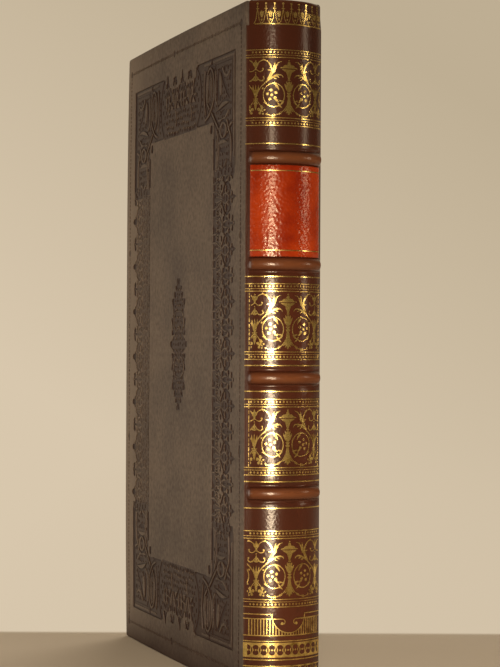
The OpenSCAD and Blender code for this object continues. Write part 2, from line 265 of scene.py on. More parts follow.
def moved(shapes: Sequence[Outline], dx: float = 0.0, dy: float = 0.0, turn: float = 0.0) -> list[Outline]:
    """The same shapes, turned about the origin by an angle in degrees and then shifted."""
    c, s = math.cos(math.radians(turn)), math.sin(math.radians(turn))
    return [[(x * c - y * s + dx, x * s + y * c + dy) for x, y in shape] for shape in shapes]


def both_sides(shapes: Sequence[Outline]) -> list[Outline]:
    """The shapes and their mirror images across the upright middle line."""
    return list(shapes) + [[(-x, y) for x, y in shape] for shape in shapes]


@dataclass
class Mosaic:
    """A flat drawing cut into triangles, each at the level painted last over it."""

    points: np.ndarray
    triangles: np.ndarray
    levels: np.ndarray


@dataclass
class Drawing:
    """Shapes painted one over another, each at a level. What is painted later covers what lies below."""

    outlines: list[Outline] = field(default_factory=list)
    levels: list[int] = field(default_factory=list)

    def paint(self, level: int, shapes: Sequence[Outline]) -> None:
        """Paints shapes at a level over all that is there."""
        self.outlines.extend(shapes)
        self.levels.extend([level] * len(shapes))

    def add(
        self, other: "Drawing", change: Callable[[list[Outline]], list[Outline]], deepest: int = 9
    ) -> None:
        """Paints another drawing over this one, its outlines changed by a function and its levels limited."""
        self.outlines.extend(change(other.outlines))
        self.levels.extend(min(level, deepest) for level in other.levels)

    def cut(self, border: Outline, grid: Sequence[Point], guides: Sequence[tuple[Point, Point]] = ()) -> Mosaic:
        """Cuts the drawing into triangles.

        Args:
            border: Edge of the sheet that it is drawn on. The sheet's level is 0.
            grid: Extra points that keep the triangles small.
            guides: Extra lines that no triangle may cross.

        Returns:
            The triangles inside the border.
        """
        points: list[Point] = []
        faces: list[list[int]] = []
        for shape in [border, *self.outlines]:
            ring = np.array(shape)
            area = np.sum(ring[:, 0] * np.roll(ring[:, 1], -1) - np.roll(ring[:, 0], -1) * ring[:, 1])
            start = len(points)
            points.extend(shape if area > 0 else shape[::-1])
            faces.append(list(range(start, start + len(shape))))
        edges = []
        for first, last in guides:
            edges.append((len(points), len(points) + 1))
            points.extend([first, last])
        points.extend(grid)
        found = delaunay_2d_cdt([Vector(p) for p in points], edges, faces, 0, 1e-4, True)
        order = np.array([0, *self.levels])
        inside = [k for k, ids in enumerate(found[5]) if 0 in ids]
        return Mosaic(
            np.array([tuple(p) for p in found[0]]),
            np.array([found[2][k] for k in inside]),
            np.array([order[max(found[5][k])] for k in inside]),
        )


def boundary(triangles: np.ndarray) -> list[tuple[int, int]]:
    """Directed edges that belong to one triangle only."""
    seen = {(int(t[k]), int(t[(k + 1) % 3])) for t in triangles for k in range(3)}
    return sorted(edge for edge in seen if (edge[1], edge[0]) not in seen)


# Meshes and node trees


def make_piece(
    name: str,
    vertices: np.ndarray,
    faces: Sequence[Sequence[int]],
    smooth: float = 40.0,
    shades: dict[str, np.ndarray] | None = None,
    flip: bool = False,
) -> bpy.types.Object:
    """Makes one piece of the book.

    Args:
        name: The piece's name.
        vertices: Its points in millimetres.
        faces: Its faces.
        smooth: Largest angle in degrees between faces that is shaded smoothly.
        shades: Values for each point, by attribute name, for its material.
        flip: Whether the faces are listed inside out.

    Returns:
        The new object, at the origin.
    """
    listed = [tuple(int(i) for i in (face[::-1] if flip else face)) for face in faces]
    mesh = bpy.data.meshes.new(name)
    mesh.from_pydata((np.asarray(vertices) * MM).tolist(), [], listed)
    mesh.validate()
    mesh.shade_smooth()
    mesh.set_sharp_from_angle(angle=math.radians(smooth))
    for label, values in (shades or {}).items():
        attribute = mesh.attributes.new(label, "FLOAT", "POINT")
        attribute.data.foreach_set("value", np.asarray(values, np.float32))
    piece = bpy.data.objects.new(name, mesh)
    bpy.context.scene.collection.objects.link(piece)
    return piece


def foil(name: str, mosaic: Mosaic, place: Place, low: float, high: float, level: int = 1) -> bpy.types.Object:
    """Thin closed solid on every triangle of a drawing that is at a level.

    Args:
        name: The piece's name.
        mosaic: The drawing.
        place: Puts a flat point and its height in space.
        low: Height of the underside.
        high: Height of the face.
        level: The level that is made.

    Returns:
        The new object.
    """
    chosen = mosaic.triangles[mosaic.levels == level]
    used, local = np.unique(chosen, return_inverse=True)
    local = local.reshape(-1, 3)
    flat = mosaic.points[used]
    count = len(used)
    both = np.concatenate([
        place(flat[:, 0], flat[:, 1], np.full(count, high)),
        place(flat[:, 0], flat[:, 1], np.full(count, low)),
    ])
    walls = [(b, a, a + count, b + count) for a, b in boundary(local)]
    faces = [*local.tolist(), *(local[:, ::-1] + count).tolist(), *walls]
    return make_piece(name, both, faces, 50.0)


def add_node(
    tree: bpy.types.NodeTree,
    kind: str,
    links: dict[str | int, bpy.types.NodeSocket] | None = None,
    values: dict[str | int, object] | None = None,
    **settings: object,
) -> bpy.types.Node:
    """Adds a node with its settings, values and links.

    Args:
        tree: The tree that it joins.
        kind: Its type name.
        links: Sockets to link to its inputs, by input name or number.
        values: Values for its inputs, by input name or number.
        settings: Its own settings.

    Returns:
        The node.
    """
    node = tree.nodes.new(kind)
    for key, value in settings.items():
        setattr(node, key, value)
    for key, value in (values or {}).items():
        node.inputs[key].default_value = value
    for key, socket in (links or {}).items():
        tree.links.new(socket, node.inputs[key])
    return node


def linear(colour: str) -> tuple[float, float, float, float]:
    """Turns an sRGB hex colour into the linear values that sockets hold."""
    parts = [int(colour[k:k + 2], 16) / 255 for k in (1, 3, 5)]
    red, green, blue = (c / 12.92 if c <= 0.04045 else ((c + 0.055) / 1.055) ** 2.4 for c in parts)
    return red, green, blue, 1.0


def grown(piece: bpy.types.Object, tree: bpy.types.NodeTree, inputs: dict[str, object]) -> bpy.types.Object:
    """Runs a geometry tree on a piece and leaves the result as its plain mesh.

    Args:
        piece: The piece, which holds the shape to repeat.
        tree: The tree.
        inputs: Values for the tree's named inputs.

    Returns:
        The same piece with its new mesh.
    """
    modifier = piece.modifiers.new("grow", "NODES")
    modifier.node_group = tree
    names = {item.name: item.identifier for item in tree.interface.items_tree if item.in_out == "INPUT"}
    for label, value in inputs.items():
        modifier[names[label]] = value
    bpy.context.view_layer.update()
    seen = piece.evaluated_get(bpy.context.evaluated_depsgraph_get())
    mesh = bpy.data.meshes.new_from_object(seen)
    piece.modifiers.remove(modifier)
    piece.data = mesh
    return piece


def empty_tree(name: str, inputs: dict[str, str]) -> tuple[bpy.types.NodeTree, dict[str, bpy.types.NodeSocket]]:
    """Starts a geometry tree.

    Args:
        name: The tree's name.
        inputs: Its named inputs, each with its socket type, after the shape itself.

    Returns:
        The tree and its input sockets by name.
    """
    tree = bpy.data.node_groups.new(name, "GeometryNodeTree")
    for label, kind in {"Shape": "NodeSocketGeometry", **inputs}.items():
        tree.interface.new_socket(label, in_out="INPUT", socket_type=kind)
    tree.interface.new_socket("Result", in_out="OUTPUT", socket_type="NodeSocketGeometry")
    entry = tree.nodes.new("NodeGroupInput")
    return tree, {socket.name: socket for socket in entry.outputs if socket.name}


def close_tree(tree: bpy.types.NodeTree, result: bpy.types.NodeSocket, material: bpy.types.NodeSocket) -> None:
    """Ends a geometry tree with real geometry that has its material."""
    dressed = add_node(tree, "GeometryNodeSetMaterial", {"Geometry": result, "Material": material})
    add_node(tree, "NodeGroupOutput", {0: dressed.outputs[0]})


def turning_row() -> bpy.types.NodeTree:
    """Tree that repeats a shape round the spine's axis, at even angles."""
    tree, given = empty_tree("turning_row", {
        "Count": "NodeSocketInt",
        "First angle": "NodeSocketFloat",
        "Step": "NodeSocketFloat",
        "Axis": "NodeSocketVector",
        "Finish": "NodeSocketMaterial",
    })
    line = add_node(
        tree, "GeometryNodeMeshLine", {"Count": given["Count"], "Start Location": given["Axis"]},
        {"Offset": (0.0, 0.0, 0.0)}, mode="OFFSET")
    index = add_node(tree, "GeometryNodeInputIndex")
    angle = add_node(
        tree, "ShaderNodeMath", {0: index.outputs[0], 1: given["Step"], 2: given["First angle"]},
        operation="MULTIPLY_ADD")
    turn = add_node(tree, "ShaderNodeCombineXYZ", {"Z": angle.outputs[0]})
    copies = add_node(tree, "GeometryNodeInstanceOnPoints", {
        "Points": line.outputs[0], "Instance": given["Shape"], "Rotation": turn.outputs[0]})
    solid = add_node(tree, "GeometryNodeRealizeInstances", {0: copies.outputs[0]})
    close_tree(tree, solid.outputs[0], given["Finish"])
    return tree


def leaf_stack() -> bpy.types.NodeTree:
    """Tree that stacks leaves across the book, rounds their back, hollows their fore-edge and tapers them."""
    tree, given = empty_tree("leaf_stack", {
        "Count": "NodeSocketInt",
        "Pitch": "NodeSocketFloat",
        "Unevenness": "NodeSocketFloat",
        "Seed": "NodeSocketInt",
        "Back": "NodeSocketFloat",
        "Leaf width": "NodeSocketFloat",
        "Back radius": "NodeSocketFloat",
        "Fore radius": "NodeSocketFloat",
        "Taper start": "NodeSocketFloat",
        "Taper": "NodeSocketFloat",
        "Finish": "NodeSocketMaterial",
    })

    def math_node(operation: str, *terms: object) -> bpy.types.NodeSocket:
        """Result of one sum on sockets and plain numbers."""
        linked = {k: term for k, term in enumerate(terms) if isinstance(term, bpy.types.NodeSocket)}
        plain = {k: term for k, term in enumerate(terms) if not isinstance(term, bpy.types.NodeSocket)}
        return add_node(tree, "ShaderNodeMath", linked, plain, operation=operation).outputs[0]

    last = math_node("SUBTRACT", given["Count"], 1.0)
    first = math_node("MULTIPLY", math_node("MULTIPLY", last, given["Pitch"]), -0.5)
    start = add_node(tree, "ShaderNodeCombineXYZ", {"X": first})
    stride = add_node(tree, "ShaderNodeCombineXYZ", {"X": given["Pitch"]})
    line = add_node(tree, "GeometryNodeMeshLine", {
        "Count": given["Count"], "Start Location": start.outputs[0], "Offset": stride.outputs[0]}, mode="OFFSET")
    copies = add_node(tree, "GeometryNodeInstanceOnPoints", {"Points": line.outputs[0], "Instance": given["Shape"]})
    jitter = add_node(
        tree, "FunctionNodeRandomValue", {"Seed": given["Seed"]},
        {0: (0.0, -1.0, -1.0), 1: (0.0, 0.0, 1.0)}, data_type="FLOAT_VECTOR")
    spread = add_node(
        tree, "ShaderNodeVectorMath", {0: jitter.outputs[0], "Scale": given["Unevenness"]}, operation="SCALE")
    shaken = add_node(tree, "GeometryNodeTranslateInstances", {
        "Instances": copies.outputs[0], "Translation": spread.outputs[0]})
    solid = add_node(tree, "GeometryNodeRealizeInstances", {0: shaken.outputs[0]})
    place = add_node(tree, "GeometryNodeInputPosition")
    xyz = add_node(tree, "ShaderNodeSeparateXYZ", {0: place.outputs[0]})
    square = math_node("MULTIPLY", xyz.outputs["X"], xyz.outputs["X"])

    def sagitta(radius: bpy.types.NodeSocket) -> bpy.types.NodeSocket:
        """How far an arc of a radius lies behind its apex at this leaf."""
        room = math_node("SUBTRACT", math_node("MULTIPLY", radius, radius), square)
        return math_node("SUBTRACT", radius, math_node("SQRT", math_node("MAXIMUM", room, 0.0)))

    share = math_node("DIVIDE", math_node("SUBTRACT", xyz.outputs["Y"], given["Back"]), given["Leaf width"])
    share = math_node("MINIMUM", math_node("MAXIMUM", share, 0.0), 1.0)
    back = sagitta(given["Back radius"])
    fore = sagitta(given["Fore radius"])
    shift = math_node("MULTIPLY_ADD", math_node("SUBTRACT", fore, back), share, back)
    past = math_node("MAXIMUM", math_node("SUBTRACT", xyz.outputs["Y"], given["Taper start"]), 0.0)
    narrow = math_node("MULTIPLY", math_node("MULTIPLY", past, past), given["Taper"])
    slim = math_node("MULTIPLY", xyz.outputs["X"], narrow)
    offset = add_node(tree, "ShaderNodeCombineXYZ", {"X": math_node("MULTIPLY", slim, -1.0), "Y": shift})
    formed = add_node(tree, "GeometryNodeSetPosition", {"Geometry": solid.outputs[0], "Offset": offset.outputs[0]})
    close_tree(tree, formed.outputs[0], given["Finish"])
    return tree


# Finishes


@dataclass
class Shader:
    """A material with its surface shader and a few helpers for what feeds it."""

    name: str

    def __post_init__(self) -> None:
        """Makes the material with its shader and its coordinates."""
        self.material = bpy.data.materials.new(self.name)
        self.material.use_nodes = True
        self.tree = self.material.node_tree
        self.tree.nodes.clear()
        self.surface = add_node(self.tree, "ShaderNodeBsdfPrincipled")
        add_node(self.tree, "ShaderNodeOutputMaterial", {"Surface": self.surface.outputs[0]})
        self.place = add_node(self.tree, "ShaderNodeTexCoord").outputs["Object"]

    def noise(self, size_mm: float, detail: float = 4.0, stretch: tuple[float, float, float] = (1, 1, 1)) -> bpy.types.NodeSocket:
        """Cloudy pattern whose patches are about as wide as given.

        Args:
            size_mm: Width of a patch in millimetres.
            detail: Number of finer layers in it.
            stretch: How many times longer a patch is along each direction.

        Returns:
            Values from 0 to 1.
        """
        scale = tuple(1 / s for s in stretch)
        spot = add_node(self.tree, "ShaderNodeMapping", {"Vector": self.place}, {"Scale": scale})
        return add_node(
            self.tree, "ShaderNodeTexNoise", {"Vector": spot.outputs[0]},
            {"Scale": 0.6 / (size_mm * MM), "Detail": detail, "Roughness": 0.55}).outputs["Fac"]

    def pebbles(self, size_mm: float) -> bpy.types.NodeSocket:
        """Rounded pebbles of about the given width, highest in their middle."""
        cells = add_node(
            self.tree, "ShaderNodeTexVoronoi", {"Vector": self.place},
            {"Scale": 1 / (size_mm * MM), "Randomness": 1.0}, feature="SMOOTH_F1")
        return add_node(
            self.tree, "ShaderNodeMath", {1: cells.outputs["Distance"]}, {0: 1.0}, operation="SUBTRACT").outputs[0]

    def ramp(self, value: bpy.types.NodeSocket, low: float, high: float) -> bpy.types.NodeSocket:
        """Stretches the values between low and high over 0 to 1."""
        return add_node(
            self.tree, "ShaderNodeMapRange", {"Value": value}, {"From Min": low, "From Max": high}).outputs[0]

    def blend(
        self, share: bpy.types.NodeSocket, first: str | bpy.types.NodeSocket, second: str | bpy.types.NodeSocket
    ) -> bpy.types.NodeSocket:
        """Colour between two others.

        Args:
            share: Share of the second.
            first: Hex colour or a socket.
            second: Hex colour or a socket.

        Returns:
            The colour.
        """
        links: dict[str | int, bpy.types.NodeSocket] = {0: share}
        values: dict[str | int, object] = {}
        for slot, colour in ((6, first), (7, second)):
            if isinstance(colour, str):
                values[slot] = linear(colour)
            else:
                links[slot] = colour
        return add_node(self.tree, "ShaderNodeMix", links, values, data_type="RGBA").outputs[2]

    def attribute(self, label: str) -> bpy.types.NodeSocket:
        """Value that the mesh holds at each point."""
        return add_node(self.tree, "ShaderNodeAttribute", attribute_name=label).outputs["Fac"]

    def bump(self, height: bpy.types.NodeSocket, depth_mm: float, below: bpy.types.NodeSocket | None = None) -> bpy.types.NodeSocket:
        """Relief too fine for the mesh.

        Args:
            height: Its pattern, from 0 to 1.
            depth_mm: Its depth in millimetres.
            below: A coarser relief that it lies on.

        Returns:
            The normal.
        """
        links = {"Height": height} | ({"Normal": below} if below else {})
        return add_node(self.tree, "ShaderNodeBump", links, {"Distance": depth_mm * MM, "Strength": 1.0}).outputs[0]

    def finish(self, links: dict[str, bpy.types.NodeSocket], **values: object) -> bpy.types.Material:
        """Links and sets the shader's own sockets.

        Args:
            links: Sockets by input name.
            values: Plain values by input name, with _ for a space.

        Returns:
            The material.
        """
        for label, socket in links.items():
            self.tree.links.new(socket, self.surface.inputs[label])
        for label, value in values.items():
            self.surface.inputs[label.replace("_", " ")].default_value = value
        return self.material


@dataclass(frozen=True)
class TooledCalf:
    """Brown calf, paste-washed and blind tooled with hot brass.

    The eye sees a dull, slightly clouded brown with a close grain. A paler colour towards the fore-edge is painted
    light for the margin that takes more light, and a darker colour towards the tail is painted shade for the light
    that the floor keeps off. Where the hot tool pressed it, the leather is burnt darker.
    """

    light: str = "#736455"
    dark: str = "#5d5146"
    burnt: str = "#281006"
    # Paler colour painted towards the fore-edge: painted light for the margin that takes more light.
    rubbed: str = "#897866"
    grain_mm: float = 0.55
    cloud_mm: float = 22.0
    # Height over which the painted shade near the floor fades out.
    floor_shade_mm: float = 17.0
    painted_light_mm: tuple[float, float] = (40.0, 72.0)

    def build(self) -> bpy.types.Material:
        """Makes the material."""
        shader = Shader("blind_tooled_calf")
        clouds = shader.ramp(shader.noise(self.cloud_mm, 5.0), 0.35, 0.65)
        tooled = shader.attribute("tooled")
        pores = shader.ramp(shader.noise(self.grain_mm * 2, 4.0), 0.35, 1.1)
        plain = shader.blend(pores, shader.blend(clouds, self.dark, self.light), self.burnt)
        place = add_node(shader.tree, "ShaderNodeSeparateXYZ", {"Vector": shader.place})
        # Paler towards the fore-edge: painted light for the fore-edge margin, which takes more light.
        rubbed = add_node(
            shader.tree, "ShaderNodeMapRange", {"Value": place.outputs["Y"]},
            {"From Min": self.painted_light_mm[0] * MM, "From Max": self.painted_light_mm[1] * MM, "To Max": 0.6}).outputs[0]
        plain = shader.blend(rubbed, plain, self.rubbed)
        # Darker towards the tail: painted shade for the light that the floor keeps off.
        floor_shade = add_node(
            shader.tree, "ShaderNodeMapRange", {"Value": place.outputs["Z"]},
            {"From Max": self.floor_shade_mm * MM, "To Min": 0.75, "To Max": 0.0}).outputs[0]
        plain = shader.blend(floor_shade, plain, self.burnt)
        colour = shader.blend(tooled, plain, self.burnt)
        grain = shader.bump(shader.noise(self.grain_mm, 3.0), 0.035)
        dulled = add_node(
            shader.tree, "ShaderNodeMapRange", {"Value": tooled}, {"To Min": 0.56, "To Max": 0.44}).outputs[0]
        return shader.finish(
            {"Base Color": colour, "Normal": grain, "Roughness": dulled}, IOR=1.4, Specular_IOR_Level=0.14)


@dataclass(frozen=True)
class PolishedCalf:
    """Dark red-brown calf on the spine, polished with a hot iron and glaired.

    The eye sees deep mirror-like streaks along the rounded back, broken by a fine grain, and a warmer brown
    where hands have rubbed the bands.
    """

    deep: str = "#30140b"
    warm: str = "#431f11"
    rubbed: str = "#60351c"
    grain_mm: float = 0.75
    cloud_mm: float = 14.0

    def build(self) -> bpy.types.Material:
        """Makes the material."""
        shader = Shader("polished_calf")
        clouds = shader.ramp(shader.noise(self.cloud_mm, 5.0, (1, 1, 2.5)), 0.3, 0.7)
        body = shader.blend(clouds, self.deep, self.warm)
        worn = add_node(
            shader.tree, "ShaderNodeMapRange", {"Value": shader.noise(5.0, 4.0)},
            {"From Min": 0.3, "From Max": 0.7, "To Min": 0.7}).outputs[0]
        rubbed = add_node(
            shader.tree, "ShaderNodeMath", {0: shader.attribute("rubbed"), 1: worn}, operation="MULTIPLY")
        colour = shader.blend(rubbed.outputs[0], body, self.rubbed)
        wave = shader.bump(shader.noise(6.0, 2.0, (1, 1, 3)), 0.05)
        grain = shader.bump(shader.pebbles(self.grain_mm), 0.045, wave)
        gloss = add_node(
            shader.tree, "ShaderNodeMapRange", {"Value": clouds}, {"To Min": 0.27, "To Max": 0.2}).outputs[0]
        return shader.finish(
            {"Base Color": colour, "Normal": grain, "Roughness": gloss}, IOR=1.5, Specular_IOR_Level=0.36,
            Specular_Tint=linear("#fff2de"))


@dataclass(frozen=True)
class RedMorocco:
    """Thin red goatskin of the title label, pared and polished.

    The eye sees a saturated red under a gloss that shows the pebbled grain of the skin.
    """

    deep: str = "#6c1200"
    bright: str = "#a43404"
    grain_mm: float = 1.05

    def build(self) -> bpy.types.Material:
        """Makes the material."""
        shader = Shader("red_morocco")
        clouds = shader.ramp(shader.noise(9.0, 4.0), 0.3, 0.7)
        colour = shader.blend(clouds, self.deep, self.bright)
        wave = shader.bump(shader.noise(5.0, 2.0), 0.05)
        grain = shader.bump(shader.pebbles(self.grain_mm), 0.14, wave)
        return shader.finish(
            {"Base Color": colour, "Normal": grain}, Roughness=0.24, IOR=1.5, Specular_IOR_Level=0.5,
            Specular_Tint=linear("#ffeed0"))


@dataclass(frozen=True)
class GoldLeaf:
    """Gold leaf pressed into the leather with warm brass tools.

    The eye sees metal that flashes where it meets the light and goes dull brown elsewhere, slightly uneven
    because it follows the grain and has worn thin in spots.
    """

    bright: str = "#f2d27e"
    dull: str = "#8a6c30"

    def build(self) -> bpy.types.Material:
        """Makes the material."""
        shader = Shader("gold_leaf")
        worn = shader.ramp(shader.noise(1.6, 4.0), 0.35, 0.7)
        colour = shader.blend(worn, self.bright, self.dull)
        ripple = shader.bump(shader.noise(0.5, 3.0), 0.03)
        rough = add_node(
            shader.tree, "ShaderNodeMapRange", {"Value": worn}, {"To Min": 0.2, "To Max": 0.36}).outputs[0]
        return shader.finish({"Base Color": colour, "Normal": ripple, "Roughness": rough}, Metallic=1.0)


@dataclass(frozen=True)
class RagPaper:
    """Old rag paper, seen on its cut edges or its face.

    The eye sees warm cream, toned darker along the cut edges, with soft fibre flecks and no gloss.
    """

    name: str
    light: str
    toned: str
    fibre_mm: float = 0.7

    def build(self) -> bpy.types.Material:
        """Makes the material."""
        shader = Shader(self.name)
        toning = shader.ramp(shader.noise(18.0, 5.0), 0.35, 0.7)
        fleck = shader.ramp(shader.noise(self.fibre_mm, 3.0, (1, 3, 1)), 0.3, 0.9)
        colour = shader.blend(toning, self.light, self.toned)
        colour = shader.blend(fleck, colour, self.toned)
        fibres = shader.bump(shader.noise(self.fibre_mm, 4.0, (1, 3, 1)), 0.02)
        return shader.finish({"Base Color": colour, "Normal": fibres}, Roughness=0.85, IOR=1.45)


@dataclass(frozen=True)
class Fibrous:
    """Plain fibrous stuff inside the binding, such as millboard, card, cord, cloth or silk.

    The eye sees a matt surface with threads or pressed fibres that run one way.
    """

    name: str
    light: str
    dark: str
    thread_mm: float
    sheen: float = 0.0

    def build(self) -> bpy.types.Material:
        """Makes the material."""
        shader = Shader(self.name)
        threads = shader.ramp(shader.noise(self.thread_mm, 3.0, (1, 1, 5)), 0.3, 0.7)
        colour = shader.blend(threads, self.light, self.dark)
        relief = shader.bump(threads, 0.05)
        return shader.finish(
            {"Base Color": colour, "Normal": relief}, Roughness=0.7, Sheen_Weight=self.sheen)


class Finishes:
    """Every material of the book, made once."""

    def __init__(self) -> None:
        """Makes them all."""
        self.cover = TooledCalf().build()
        self.spine = PolishedCalf().build()
        self.label = RedMorocco().build()
        self.gold = GoldLeaf().build()
        self.edges = RagPaper("page_edges", "#dccfae", "#c4ad84").build()
        self.endpaper = RagPaper("endpaper", "#e4dabf", "#dccfb0").build()
        self.board = Fibrous("millboard", "#9c8b72", "#7d6c54", 1.2).build()
        self.cord = Fibrous("hemp_cord", "#8a6a48", "#6b4f33", 0.6).build()
        self.card = Fibrous("card", "#b9a27c", "#9c8661", 0.8).build()
        self.cloth = Fibrous("mull_cloth", "#d8cfb8", "#b9ac90", 0.5).build()
        self.silk_red = Fibrous("red_silk", "#a3261c", "#7a1712", 0.25, 0.4).build()
        self.silk_cream = Fibrous("cream_silk", "#e2d3a8", "#c4b07e", 0.25, 0.4).build()


# Sizes shared by the sub-assemblies


@dataclass(frozen=True)
class BookSizes:
    """Sizes in millimetres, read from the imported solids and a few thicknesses."""

    height: float
    cover_w: float
    half_w: float
    joint_y: float
    crest_y: float
    leather_t: float = 0.9
    cover_t: float = 4.1
    joint_step: float = 0.9
    joint_gap: float = 0.3
    band_rise: float = 1.9
    band_w: float = 4.6
    cup_start: float = 65.0
    cup_depth: float = 1.2
    curl: float = 0.7

    @classmethod
    def from_frame(cls) -> "BookSizes":
        """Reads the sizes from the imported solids."""
        low, high = box_mm("rear_leather")
        crest = box_mm("spine_leather")[0].y
        return cls(high.z, high.y - low.y, -low.x, low.y, crest)

    @property
    def spine_half(self) -> float:
        """Half the width of the spine at the joints."""
        return self.half_w - self.joint_step

    @property
    def spine_rise(self) -> float:
        """How far the rounded back stands out from the joints."""
        return self.joint_y - self.crest_y - self.joint_gap - self.band_rise

    @property
    def spine_r(self) -> float:
        """Radius of the rounded back."""
        return (self.spine_half ** 2 + self.spine_rise ** 2) / (2 * self.spine_rise)

    @property
    def axis_y(self) -> float:
        """Place of the axis that the rounded back turns about."""
        return self.joint_y - self.joint_gap - self.spine_rise + self.spine_r

    @property
    def spine_angle(self) -> float:
        """Angle in radians from the middle of the back to a joint."""
        return math.asin(self.spine_half / self.spine_r)

    @property
    def bands(self) -> list[float]:
        """Heights of the raised bands, lowest first."""
        return sorted(middle_z(f"band_core_{k}") for k in (1, 2, 3, 4))

    def on_spine(self, lift: float = 0.0) -> Place:
        """Function that puts a point of a drawing on the rounded back.

        Args:
            lift: Height of the drawing's ground above the leather.

        Returns:
            Function of the distance along the curve, the height above the tail and the height above the ground.
        """

        def place(u: np.ndarray, z: np.ndarray, height: np.ndarray) -> np.ndarray:
            """Points in space."""
            angle = u / self.spine_r
            radius = self.spine_r + lift + height
            return np.stack([radius * np.sin(angle), self.axis_y - radius * np.cos(angle), z], axis=1)

        return place

    def about_axis(self, lift: float = 0.0) -> Place:
        """The same as on_spine, with the spine's axis at the origin, for shapes that are repeated about it."""
        placed = self.on_spine(lift)
        return lambda u, z, height: placed(u, z, height) - np.array([0.0, self.axis_y, 0.0])

    def drawn_in(self, s: np.ndarray, z: np.ndarray) -> np.ndarray:
        """How far a cover draws in towards the pages, at a distance from the joint and a height."""
        out = np.clip((s - self.cup_start) / (self.cover_w - self.cup_start), 0.0, 1.0)
        end = np.abs(z - self.height / 2) / (self.height / 2)
        return self.cup_depth * out ** 2 + self.curl * out * np.clip((end - 0.4) / 0.6, 0.0, 1.0) ** 2

    def on_cover(self, side: Side) -> Place:
        """Function that puts a point of a drawing on a cover.

        Args:
            side: Which cover.

        Returns:
            Function of the distance from the joint, the height above the tail and the depth under the face.
        """

        def place(s: np.ndarray, z: np.ndarray, depth: np.ndarray) -> np.ndarray:
            """Points in space."""
            out = self.half_w - self.drawn_in(s, z) - depth
            return np.stack([side.value * out, s + self.joint_y, z], axis=1)

        return place


@dataclass
class SubAssembly(ABC):
    """A part of the book that builds its meshes and dresses them."""

    sizes: BookSizes
    finishes: Finishes
    pieces: list[bpy.types.Object] = field(default_factory=list, init=False)

    @abstractmethod
    def build(self) -> None:
        """Makes the meshes."""

    @abstractmethod
    def dress(self) -> None:
        """Gives the meshes their materials and bodies."""

    def attach(
        self, piece: bpy.types.Object, material: bpy.types.Material, body: str, slot: str, *stands_for: str
    ) -> None:
        """Finishes one piece.

        Args:
            piece: The piece.
            material: Its material.
            body: The body that it rides on.
            slot: The record's material slot. Not used.
            stands_for: Solids that it replaces.
        """
        if material.name not in piece.data.materials:
            piece.data.materials.clear()
            piece.data.materials.append(material)
        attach(piece, body)
        if stands_for:
            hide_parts(*stands_for)


# Spine


